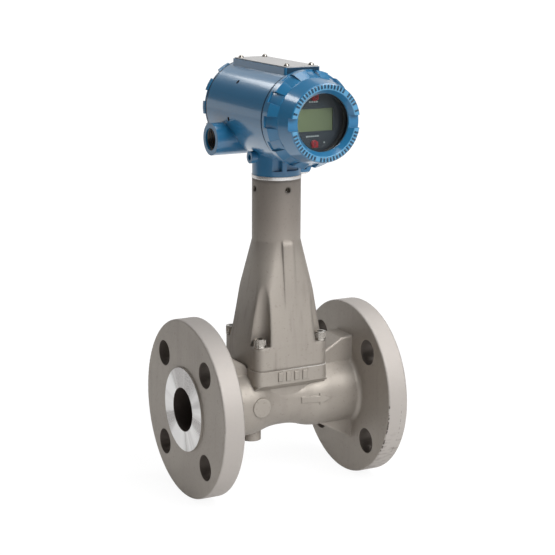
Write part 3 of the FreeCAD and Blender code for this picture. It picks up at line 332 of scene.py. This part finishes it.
def cast_steel(name, turned):
    """Blasted cast steel, with the turned faces, rims and bores where a part has them."""
    steel = Finish(name)
    cloud = steel.noise(0.022, 4)
    speck = steel.noise(0.0011, 2)
    grain = steel.noise(0.00034, 2)
    tone = steel.mixed(cloud, (0.31, 0.276, 0.246, 1), (0.41, 0.374, 0.330, 1))
    # Painted shade: the top of the support tube, under the head, is made darker, as if the head's shadow fell
    # on it.
    tone = steel.mixed(steel.smooth(steel.z, *tube_shade_heights) * 0.7, tone, (0.21, 0.182, 0.160, 1))
    tone = steel.mixed(steel.smooth(speck, 0.60, 0.8) * 0.35, tone, (0.15, 0.128, 0.112, 1))
    streak = steel.noise(0.0045, 3, (1, 1, 0.10))
    streaks = steel.smooth(streak, 0.50, 0.80) * (0.16 if turned else 0.55)
    tone = steel.mixed(streaks, tone, (0.17, 0.145, 0.125, 1))
    edges = steel.softened(0.0013 if turned else 0.0040)
    normal = steel.bumped(grain + cloud * 0.5, 0.00022, edges, 0.5)
    roughness = 0.42 + speck * 0.12
    metal = 0.5
    if turned:
        across = steel.distance(steel.y, steel.z)
        rim = steel.smooth(across, flange_radius - 0.0008, flange_radius - 0.0002)
        tone = steel.mixed(rim, tone, (0.455, 0.422, 0.395, 1))
        # Painted highlight: a thin light line along the ledge at the top of the pad, on its lit part only.
        ledge_highlight = steel.within(steel.z, *ledge_highlight_height) * steel.smooth(steel.x, *pad_lit_part)
        ledge_highlight = ledge_highlight * (steel.x < pad_right_side)
        tone = steel.mixed(ledge_highlight * 0.8, tone, (0.72, 0.70, 0.67, 1))
        scale = steel.noise(0.0016, 3, (0.35, 1, 1))
        worn_edge = steel.within(steel.x, *worn_inner_edge) + steel.within(steel.x, *worn_outer_line) * 0.6
        place = steel.within(steel.z, *worn_height, 0.004) * steel.smooth(steel.y * -1, 0.05, 0.06)
        nicks = rim * worn_edge * place * steel.smooth(scale, 0.50, 0.56)
        rubbing = rim * steel.smooth(steel.x, 0.158, 0.161) * (1 - steel.smooth(steel.z, -0.045, -0.015))
        tone = steel.mixed(rubbing * steel.smooth(scale, 0.48, 0.66) * 0.45, tone, (0.19, 0.165, 0.145, 1))
        tone = steel.mixed(nicks, tone, (0.10, 0.085, 0.075, 1))
        hole_y = steel.y.calculated("ABSOLUTE") - stud_circle
        hole_z = steel.z.calculated("ABSOLUTE") - stud_circle
        hole = steel.distance(hole_y, hole_z) < stud_hole_radius + 0.00005
        bore = across < pipe_bore_radius + 0.0001
        tone = steel.mixed((hole * 0.68 + bore * 0.9).calculated("MINIMUM", 1.0), tone, hole_shade)
        ends = (steel.x < raised_face_height + 0.0001) + (steel.x > face_to_face - raised_face_height - 0.0001)
        face = ends * steel.within(across, pipe_bore_radius + 0.0002, raised_face_radius - 0.0003)
        # The raised face is turned steel, paler than the casting. Its tone also changes in sectors round the
        # axis, from dark grey to near white: painted reflection streaks, as its grooves catch the light.
        way = steel.add("ShaderNodeCombineXYZ", values=[0.0, steel.y / across, steel.z / across])
        sector = steel.add("ShaderNodeTexNoise", values={"Vector": way, "Scale": 1.6, "Detail": 3.0})
        sector_sheen = steel.smooth(sector, 0.35, 0.62)
        face_tone_and_sheen = steel.mixed(sector_sheen, (0.46, 0.44, 0.43, 1), (0.86, 0.85, 0.84, 1))
        grooves = (across * (2 * math.pi / groove_pitch)).calculated("SINE")
        tone = steel.mixed(face, tone, face_tone_and_sheen)
        roughness = (roughness + rim * 0.15) * (1 - face) + face * (0.22 + sector * 0.12)
        metal = 0.5 + face * 0.4
        normal = steel.bumped(grooves * face, 0.00005, normal, 0.6)
    return steel.close(Base_Color=tone, Roughness=roughness, Metallic=metal, Normal=normal)


dress(cast_steel("cast_steel", turned=False), "support_tube")
pad_steel = cast_steel("cast_and_turned_steel", turned=True)
dress(pad_steel, "meter_body")
print("cast steel is on the tube and the body")

# %% [markdown]
# The head is aluminium with a thick gloss enamel. A clear coat on a blue base gives the sharp
# reflections over a soft colour. Enamel never dries quite flat, so a very low bump about two
# millimetres wide gives it the skin of an orange. Where a cover meets the barrel, a dark band is
# painted on the enamel, a painted shade of the gap between the parts. The ring at the foot of the neck
# was left bare and bright, so that part of the same casting turns to metal between two heights.

# %% Blue enamel and the bare ring
neck_ring_low = 0.1950
neck_ring_high = 0.1980
cover_axis = Vector((0.090, 0.0, 0.2509))
cover_face = -0.0842
front_joint = -0.0486
rear_joint = 0.0564
tag_holes = ((0.0603, 0.0141, 0.2760), (0.0514, 0.0140, 0.2453))
tag_hole_shade_reach = 0.0019
# Painted shade: the dark bands beside each joint between a cover and the barrel.
gap_shade_colour = (0.004, 0.016, 0.034, 1)
shade_on_front_cover = 0.0008
shade_on_barrel_front = 0.0036
shade_on_barrel_rear = 0.0012
shade_on_rear_cover = 0.0010


def enamel(name, joint_low, joint_high, bare_ring=False, with_face_highlight=False, depth=1.0):
    """Gloss enamel with a painted shade of the gap between two places along Y."""
    paint = Finish(name)
    skin = paint.noise(0.0021, 2)
    cloud = paint.noise(0.03, 3)
    low = tuple(depth * part for part in (0.009, 0.130, 0.275)) + (1,)
    high = tuple(depth * part for part in (0.014, 0.160, 0.330)) + (1,)
    tone = paint.mixed(cloud, low, high)
    joint = paint.within(paint.y, joint_low, joint_high, 0.0002)
    tone = paint.mixed(joint * 0.85, tone, gap_shade_colour)
    if with_face_highlight:
        # Painted highlight: the front face of the cover's ring is made paler blue, as where the front lamps
        # fall on it.
        face_highlight = 1 - paint.smooth(paint.y, cover_face + 0.0002, cover_face + 0.0005)
        tone = paint.mixed(face_highlight, tone, (0.075, 0.270, 0.460, 1))
    normal = paint.bumped(skin, 0.00006, paint.softened(0.0010), 0.3)
    roughness = 0.30 + cloud * 0.06
    metal = 0.0
    coat = 1 - joint
    dull = joint
    if bare_ring:
        # Painted shade: a near-black disc, wider than each tag hole, stands for the shade inside the hole.
        for place in tag_holes:
            away = paint.add("ShaderNodeVectorMath", {"operation": "DISTANCE"}, [paint.spot, place],
                             output="Value")
            tag_hole_shade = away < tag_hole_shade_reach
            tone = paint.mixed(tag_hole_shade, tone, (0.004, 0.006, 0.010, 1))
            coat = coat * (1 - tag_hole_shade)
            dull = dull + tag_hole_shade
        rear = paint.within(paint.y, rear_joint - shade_on_barrel_rear, rear_joint, 0.0002)
        tone = paint.mixed(rear * 0.85, tone, gap_shade_colour)
        bare = paint.smooth(paint.z, neck_ring_low - 0.02, neck_ring_low - 0.019)
        bare = bare * (1 - paint.smooth(paint.z, neck_ring_high - 0.00015, neck_ring_high + 0.00015))
        tone = paint.mixed(bare, tone, (0.80, 0.79, 0.78, 1))
        roughness = roughness * (1 - bare) + bare * 0.24
        metal = bare
        coat = coat * (1 - bare)
    return paint.close(Base_Color=tone, Roughness=roughness + dull * 0.6, Metallic=metal, Coat_Weight=coat,
                       Coat_Roughness=0.13, Normal=normal)


front_enamel = enamel("front_enamel", front_joint - shade_on_front_cover, front_joint, with_face_highlight=True)
dress(enamel("housing_enamel", front_joint, front_joint + shade_on_barrel_front, bare_ring=True), "housing")
dress(front_enamel, "front_cover")
dress(enamel("rear_enamel", rear_joint, rear_joint + shade_on_rear_cover), "rear_cover")

# %% [markdown]
# The small metal pieces are bright: the screws, the washers and the thin plate on the head. The plate is
# rolled sheet, so its grain runs one way, which the stretched noise gives. Brass terminals and the green
# boards only show when a cover is off, but they are finished as well.

# %% Bright metal


def bright_metal(name, colour, roughness, grain_size=0.0006, stretch=None, metallic=0.95):
    """Machined or rolled metal with a fine grain."""
    metal = Finish(name)
    grain = metal.noise(grain_size, 2, stretch)
    cloud = metal.noise(0.008, 3)
    darker = tuple(0.82 * part for part in colour[:3]) + (1,)
    tone = metal.mixed(grain * 0.5 + cloud * 0.5, darker, colour)
    normal = metal.bumped(grain, 0.00004, metal.softened(0.0003), 0.5)
    return metal.close(Base_Color=tone, Roughness=roughness + grain * 0.12, Metallic=metallic, Normal=normal)


screw_steel = bright_metal("screw_steel", (0.50, 0.47, 0.43, 1), 0.13)
dress(screw_steel, "cap_screws", "lock_washers", "plate_screws", "housing_lock_screws", "conduit_plug")
dress(screw_steel, "sensor_nut", "flexure_post", "vortex_sensor", "terminal_block_screws")
dress(bright_metal("ring_metal", (0.10, 0.10, 0.10, 1), 0.45), "glass_retaining_ring")
dress(bright_metal("bar_steel", (0.50, 0.48, 0.45, 1), 0.35), "shedder_bar")
dress(bright_metal("plate_steel", (0.485, 0.48, 0.475, 1), 0.66, 0.0009, (1, 0.06, 1), 0.08), "top_plate")
dress(bright_metal("terminal_brass", (0.72, 0.56, 0.30, 1), 0.22), "terminal_screws", "board_standoffs")

# %% [markdown]
# Plastics and rubber are moulded, so they have a fine even grain and a low shine. The glass is two
# shaders mixed by Fresnel: clear where it is seen straight on, and more of a mirror at a slant. Light
# passes the clear part freely, which keeps the display behind it as bright as it should be.

# %% Plastic, rubber and glass


def moulded(name, colour, roughness):
    """Moulded plastic or rubber, a little paler in places."""
    plastic = Finish(name)
    grain = plastic.noise(0.0005, 2)
    cloud = plastic.noise(0.012, 2)
    paler = tuple(min(1, 1.25 * part + 0.004) for part in colour[:3]) + (1,)
    tone = plastic.mixed(cloud, colour, paler)
    normal = plastic.bumped(grain, 0.00004, plastic.softened(0.0004), 0.5)
    return plastic.close(Base_Color=tone, Roughness=roughness + grain * 0.1, Normal=normal)


display_black = moulded("display_black", (0.024, 0.033, 0.045, 1), 0.34)
dress(display_black, "display_module", "display_connector")
jumper_red = moulded("jumper_red", (0.36, 0.012, 0.022, 1), 0.25)
dress(jumper_red, "alarm_jumper", "security_jumper")
dress(moulded("terminal_black", (0.022, 0.022, 0.024, 1), 0.42), "terminal_block", "sensor_plug")
dress(moulded("seal_rubber", (0.014, 0.014, 0.014, 1), 0.55), "front_cover_seal", "rear_cover_seal",
      "neck_o_ring", "glass_gasket")
dress(moulded("cable_jacket", (0.035, 0.035, 0.037, 1), 0.45), "sensor_cable")


def board_finish():
    """Green circuit board with copper lanes under the varnish."""
    board = Finish("circuit_board")
    weave = board.noise(0.0007, 1)
    copper = board.add("ShaderNodeTexBrick", {"offset": 0.5}, {"Vector": board.spot, "Scale": 260.0,
                                                               "Mortar Size": 0.012}, output="Fac")
    tone = board.mixed(copper, (0.012, 0.10, 0.035, 1), (0.03, 0.19, 0.07, 1))
    normal = board.bumped(weave + copper, 0.00005)
    return board.close(Base_Color=tone, Roughness=0.35 + weave * 0.1, Coat_Weight=0.3, Normal=normal)


dress(board_finish(), "upper_circuit_board", "lower_circuit_board")


def crystal_panel():
    """The grey-green of an unlit crystal display, darker to the right."""
    panel_look = Finish("crystal_panel")
    across = panel_look.smooth(panel_look.x, 0.072, 0.108)
    fine = panel_look.noise(0.0009, 1)
    tone = panel_look.mixed(across, (0.190, 0.230, 0.118, 1), (0.135, 0.165, 0.088, 1))
    tone = panel_look.mixed(fine * 0.25, tone, (0.21, 0.25, 0.14, 1))
    return panel_look.close(Base_Color=tone, Roughness=0.28 + fine * 0.06)


dress(crystal_panel(), "display_panel")


def window_glass():
    """Clear glass that mirrors at a slant."""
    glass = Finish("window_glass")
    clear = glass.add("ShaderNodeBsdfTransparent", values={"Color": (0.93, 0.95, 0.95, 1)})
    shine = glass.add("ShaderNodeBsdfGlossy", values={"Color": (1, 1, 1, 1), "Roughness": 0.02})
    slant = glass.add("ShaderNodeFresnel", values={"IOR": 1.45})
    surface = glass.add("ShaderNodeMixShader", values=[slant * 0.55, clear, shine])
    glass.add("ShaderNodeOutputMaterial", values={"Surface": surface})
    return glass.material


dress(window_glass(), "cover_glass")

# %% [markdown]
# What repeats is made with Geometry Nodes. A Pattern is a tree with named sizes. It ends in Realize
# Instances and Set Material, and its result is turned into a plain mesh that rides on one body.

# %% Patterns


class Pattern(Net):
    """A geometry tree with named sizes, which makes one plain mesh."""

    def __init__(self, name, **sizes):
        super().__init__(bpy.data.node_groups.new(name, "GeometryNodeTree"))
        self.name = name
        self.sizes = sizes
        face = self.tree.interface
        face.new_socket("Geometry", in_out="OUTPUT", socket_type="NodeSocketGeometry")
        self.keys = {}
        for size, value in sizes.items():
            kind = "NodeSocketInt" if isinstance(value, int) else "NodeSocketFloat"
            self.keys[size] = face.new_socket(size, in_out="INPUT", socket_type=kind).identifier
        self.inlet = self.tree.nodes.new("NodeGroupInput")

    def size(self, name):
        """One of the named sizes."""
        return Wire(self, self.inlet.outputs[name])

    def random(self, low, high, index, seed):
        """A value between two others for each index, the same on every run."""
        lowest, highest, number, fixed = 2, 3, 7, 8
        return self.add("FunctionNodeRandomValue", {"data_type": "FLOAT"},
                        {lowest: low, highest: high, number: index, fixed: seed}, output=1)

    def made(self, geometry, finish, body, slot):
        """Ends the tree, evaluates it and keeps the plain mesh, which rides on its body."""
        whole = self.add("GeometryNodeRealizeInstances", values={"Geometry": geometry})
        coloured = self.add("GeometryNodeSetMaterial", values={"Geometry": whole, "Material": finish})
        self.add("NodeGroupOutput", values={0: coloured})
        carrier = bpy.data.objects.new(self.name + "_carrier", bpy.data.meshes.new(self.name))
        bpy.context.collection.objects.link(carrier)
        modifier = carrier.modifiers.new("pattern", "NODES")
        modifier.node_group = self.tree
        for size, value in self.sizes.items():
            modifier[self.keys[size]] = value
        bpy.context.view_layer.update()
        evaluated = carrier.evaluated_get(bpy.context.evaluated_depsgraph_get())
        mesh = bpy.data.meshes.new_from_object(evaluated)
        bpy.data.objects.remove(carrier)
        carried(self.name, mesh, body)


def carried(name, mesh, body):
    """An object for a finished mesh, riding on its body."""
    thing = bpy.data.objects.new(name, mesh)
    bpy.context.collection.objects.link(thing)
    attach(thing, body)
    print(name, "has", len(mesh.polygons), "faces")
    return thing


# %% [markdown]
# The flat ring round the window carries plain raised ticks of uneven length, in two runs, one above and
# one below the wrench slots. Each tick is a four-sided stub, narrower at its top, as a casting needs to
# leave its mould. The points come from their index, so the angle, the run and the place of each tick
# follow one rule. Some points are left out, so that the runs look irregular. That gives the others new
# index numbers, so each tick is turned by its own place and not by its number.

# %% Raised ticks on the front cover
tick_enamel = enamel("tick_enamel", front_joint - shade_on_front_cover, front_joint, depth=0.30)
slot_sine = 0.26
share_kept = 0.87


def cover_ticks():
    band = Pattern("face_ticks", count=62, radius=0.0297, height=0.0006, half_length=0.0020, half_width=0.00082)
    index = band.add("GeometryNodeInputIndex")
    turn = index * 2 * math.pi / band.size("count")
    x = turn.calculated("COSINE") * band.size("radius") + cover_axis.x
    z = turn.calculated("SINE") * band.size("radius") + cover_axis.z
    y = band.size("height") * -0.5 + cover_face
    spot = band.add("ShaderNodeCombineXYZ", values=[x, y, z])
    points = band.add("GeometryNodePoints", values={"Count": band.size("count"), "Position": spot})
    near_slot = turn.calculated("SINE").calculated("ABSOLUTE") < slot_sine
    chance = band.random(0.0, 1.0, index, 7)
    left_out = (near_slot + (chance > share_kept)).calculated("MINIMUM", 1.0)
    points = band.add("GeometryNodeDeleteGeometry", {"domain": "POINT"},
                      {"Geometry": points, "Selection": left_out})
    stub = band.add("GeometryNodeMeshCone", {"fill_type": "NGON"}, {
        "Vertices": 4, "Radius Top": 0.72, "Radius Bottom": 1.0, "Depth": 1.0})
    stub = band.add("GeometryNodeTransform", values={
        "Geometry": stub, "Translation": (0, 0, -0.5), "Rotation": (0, 0, math.pi / 4),
        "Scale": (1.414, 1.414, 1.0)})
    stub = band.add("GeometryNodeTransform", values={"Geometry": stub, "Rotation": (math.pi / 2, 0, 0)})
    length = band.random(0.84, 1.0, index, 3)
    scale = band.add("ShaderNodeCombineXYZ", values=[
        length * band.size("half_length"), band.size("height"), band.size("half_width")])
    place = band.add("GeometryNodeInputPosition")
    across = band.add("ShaderNodeSeparateXYZ", values=[place], output=0) - cover_axis.x
    above = band.add("ShaderNodeSeparateXYZ", values=[place], output=2) - cover_axis.z
    heading = band.add("ShaderNodeCombineXYZ", values=[0.0, above.calculated("ARCTAN2", across) * -1.0, 0.0])
    facing = band.add("FunctionNodeEulerToRotation", values=[heading])
    ticks = band.add("GeometryNodeInstanceOnPoints", values={
        "Points": points, "Instance": stub, "Rotation": facing, "Scale": scale})
    band.made(ticks, tick_enamel, "front_cover", "blue_enamel")


cover_ticks()

# %% [markdown]
# Between the lugs the cover's skirt slopes gently down to the nose. That slope is one plain ring, a profile
# turned about the cover's axis. It lies inside the lugs, so it shows only in the gaps between them.

# %% Slope between the lugs


def turned_ring(name, profile, centre, steps, finish, body):
    """A ring with a closed profile of (radius, y), turned about a line along Y."""
    corners = []
    faces = []
    many = len(profile)
    for step in range(steps):
        turn = 2 * math.pi * step / steps
        for radius, y in profile:
            corners.append((centre.x + radius * math.cos(turn), y, centre.z + radius * math.sin(turn)))
    for step in range(steps):
        here = step * many
        after = (step + 1) % steps * many
        for side in range(many):
            more = (side + 1) % many
            faces.append((here + side, here + more, after + more, after + side))
    mesh = bpy.data.meshes.new(name)
    mesh.from_pydata(corners, [], faces)
    mesh.polygons.foreach_set("use_smooth", [True] * len(mesh.polygons))
    mesh.set_sharp_from_angle(angle=math.radians(30))
    mesh.materials.append(finish)
    carried(name, mesh, body)


slope_inside = 0.0346
slope_back = -0.0500
slope_front = -0.0664
slope_profile = [(slope_inside, slope_back), (0.0396, slope_back), (0.0394, -0.0535), (0.0353, slope_front),
                 (slope_inside, slope_front)]
turned_ring("lug_slope", slope_profile, cover_axis, 160, front_enamel, "front_cover")

# %% [markdown]
# A socket head cap screw has a ring of fine straight flutes for the fingers. Four screws with forty
# flutes each share one tree. The whole part of index / flutes is the number of the screw, and what is
# left over is the flute.

# %% Flutes on the cap screws
screw_apart_x = 0.0295
screw_apart_y = 0.0265
screw_head_level = 0.0587


def screw_flutes():
    ring = Pattern("screw_flutes", flutes=40, total=160, radius=0.00500, half_height=0.0023, half_width=0.00024)
    index = ring.add("GeometryNodeInputIndex")
    screw = (index / ring.size("flutes")).calculated("FLOOR")
    turn = index * 2 * math.pi / ring.size("flutes")
    right = screw > 1.5
    back = screw - right * 2
    x = (right * 2 - 1) * screw_apart_x + face_to_face / 2 + turn.calculated("COSINE") * ring.size("radius")
    y = (back * 2 - 1) * screw_apart_y + turn.calculated("SINE") * ring.size("radius")
    spot = ring.add("ShaderNodeCombineXYZ", values=[x, y, screw_head_level])
    points = ring.add("GeometryNodePoints", values={"Count": ring.size("total"), "Position": spot})
    rod = ring.add("GeometryNodeMeshCylinder", {"fill_type": "NGON"}, {
        "Vertices": 6, "Radius": 1.0, "Depth": 2.0})
    scale = ring.add("ShaderNodeCombineXYZ", values=[
        ring.size("half_width"), ring.size("half_width"), ring.size("half_height")])
    flutes = ring.add("GeometryNodeInstanceOnPoints", values={
        "Points": points, "Instance": rod, "Scale": scale})
    ring.made(flutes, screw_steel, "meter", "bright_steel")


screw_flutes()

# %% [markdown]
# The open cable entry shows its thread. A thread is a small profile carried along a spiral, which Curve to
# Mesh does. The profile is buried half in the wall of the bore, so only the crests stand out. The thread
# is bare metal with a little oil on it, and it is painted dark as well, a painted shade of the inside of
# the entry.

# %% Thread in the cable entry
entry_mouth = (0.0412, 0.026, 0.2272)


def entry_thread():
    groove = Pattern("entry_thread", turns=9.0, radius=0.00955, pitch=0.00181, crest=0.00085)
    path = groove.add("GeometryNodeCurveSpiral", values={
        "Resolution": 36, "Rotations": groove.size("turns"), "Start Radius": groove.size("radius"),
        "End Radius": groove.size("radius"), "Height": groove.size("turns") * groove.size("pitch")})
    profile = groove.add("GeometryNodeCurvePrimitiveCircle", values={
        "Resolution": 4, "Radius": groove.size("crest")})
    ridge = groove.add("GeometryNodeCurveToMesh", values={
        "Curve": path, "Profile Curve": profile, "Fill Caps": True})
    laid = groove.add("GeometryNodeTransform", values={
        "Geometry": ridge, "Translation": entry_mouth, "Rotation": (0, math.pi / 2, 0)})
    oiled_and_shaded = bright_metal("oiled_thread", (0.16, 0.14, 0.12, 1), 0.30)
    groove.made(laid, oiled_and_shaded, "housing", "blue_enamel")


entry_thread()

# %% [markdown]
# The display's face has a thin raised frame round the panel and short pale marks by the two red jumpers.
# The marks are plain bars. All of these are boxes with rounded edges. One function makes them, because
# the slots of the jumpers and the bars on the pad are made in the same way later on.

# %% Frame and marks on the display


def bar(low, high):
    """Corners and faces of a box between two corners."""
    (x0, y0, z0), (x1, y1, z1) = low, high
    corners = [(x, y, z) for x in (x0, x1) for y in (y0, y1) for z in (z0, z1)]
    faces = [(0, 1, 3, 2), (4, 6, 7, 5), (0, 4, 5, 1), (2, 3, 7, 6), (0, 2, 6, 4), (1, 5, 7, 3)]
    return corners, faces


def bars(name, boxes, finish, body, round_by):
    """One piece made of boxes, with its edges rounded by a Bevel modifier."""
    corners = []
    faces = []
    for low, high in boxes:
        more, sides = bar(low, high)
        faces += [tuple(corner + len(corners) for corner in side) for side in sides]
        corners += more
    mesh = bpy.data.meshes.new(name)
    mesh.from_pydata(corners, [], faces)
    mesh.materials.append(finish)
    thing = carried(name, mesh, body)
    edge = thing.modifiers.new("round_edges", "BEVEL")
    edge.width = round_by
    edge.segments = 2


display_level = -0.065
panel_low, panel_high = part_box("display_panel")
frame_width = 0.0011
frame_back = display_level + 0.0002
frame_front = display_level - 0.0004
frame_boxes = []
for z0, z1 in ((panel_low[2] - frame_width, panel_low[2]), (panel_high[2], panel_high[2] + frame_width)):
    frame_boxes.append(((panel_low[0] - frame_width, frame_front, z0),
                        (panel_high[0] + frame_width, frame_back, z1)))
for x0, x1 in ((panel_low[0] - frame_width, panel_low[0]), (panel_high[0], panel_high[0] + frame_width)):
    frame_boxes.append(((x0, frame_front, panel_low[2]), (x1, frame_back, panel_high[2])))
bars("panel_frame", frame_boxes, display_black, "housing", 0.00012)

mark_ink = moulded("mark_ink", (0.42, 0.46, 0.46, 1), 0.5)
mark_pitch = 0.0021
mark_gap = 0.0005
mark_half_height = 0.0006
mark_boxes = []
for level, left, width in ((0.2663, 0.0845, 0.0088), (0.2382, 0.0822, 0.0122), (0.2326, 0.0985, 0.0020)):
    marks = max(1, round(width / mark_pitch))
    for step in range(marks):
        start = left + step * width / marks
        end = start + width / marks - mark_gap
        mark_boxes.append(((start, display_level - 0.00004, level - mark_half_height),
                           (end, display_level + 0.0001, level + mark_half_height)))
bars("display_marks", mark_boxes, mark_ink, "housing", 0.00003)

# %% [markdown]
# Each red jumper has a round moulded cap with a slot for a fingernail. The cap is a turned ring with a
# chamfer, and two thin dark bars draw the sides of its slot.

# %% Caps of the jumpers
cap_top = display_level - 0.0018
cap_foot = display_level + 0.0001
cap_middle_x = 0.0895
cap_profile = [(0.0003, cap_top), (0.0026, cap_top), (0.0030, cap_top + 0.0004), (0.0032, cap_foot),
               (0.0003, cap_foot)]
slot_half_length = 0.0019
slot_line_width = 0.0003
slot_lines = (cap_middle_x - 0.0006, cap_middle_x + 0.0003)
slot_front = cap_top - 0.00025
slot_floor = cap_top + 0.0002
for side, level in (("alarm", cover_axis.z + 0.0191), ("security", cover_axis.z - 0.0189)):
    turned_ring(side + "_jumper_cap", cap_profile, Vector((cap_middle_x, 0.0, level)), 40, jumper_red,
                "housing")
    slot_low, slot_high = level - slot_half_length, level + slot_half_length
    slot_boxes = [((left, slot_front, slot_low), (left + slot_line_width, slot_floor, slot_high))
                  for left in slot_lines]
    bars(side + "_jumper_slot", slot_boxes, display_black, "housing", 0.00008)

# %% [markdown]
# The flat front of the body's pad carries four plain upright bars with rounded edges. They are cast with
# the body and stand less than a millimetre proud of it. Each starts a little lower than the one before.

# %% Raised bars on the pad
bar_width = 0.0052
bar_pitch = 0.0079
bar_fall = 0.0002
bar_front = -0.0333
bar_back = -0.0320
pad_bars = []
for step in range(4):
    start = 0.0752 + step * bar_pitch
    fall = step * bar_fall
    pad_bars.append(((start, bar_front, 0.0228 - fall), (start + bar_width, bar_back, 0.0312 - fall)))
bars("pad_bars", pad_bars, pad_steel, "meter", 0.0006)

# %% Size of the model
print("CAD box", [[round(v, 4) for v in corner] for corner in cad_box])
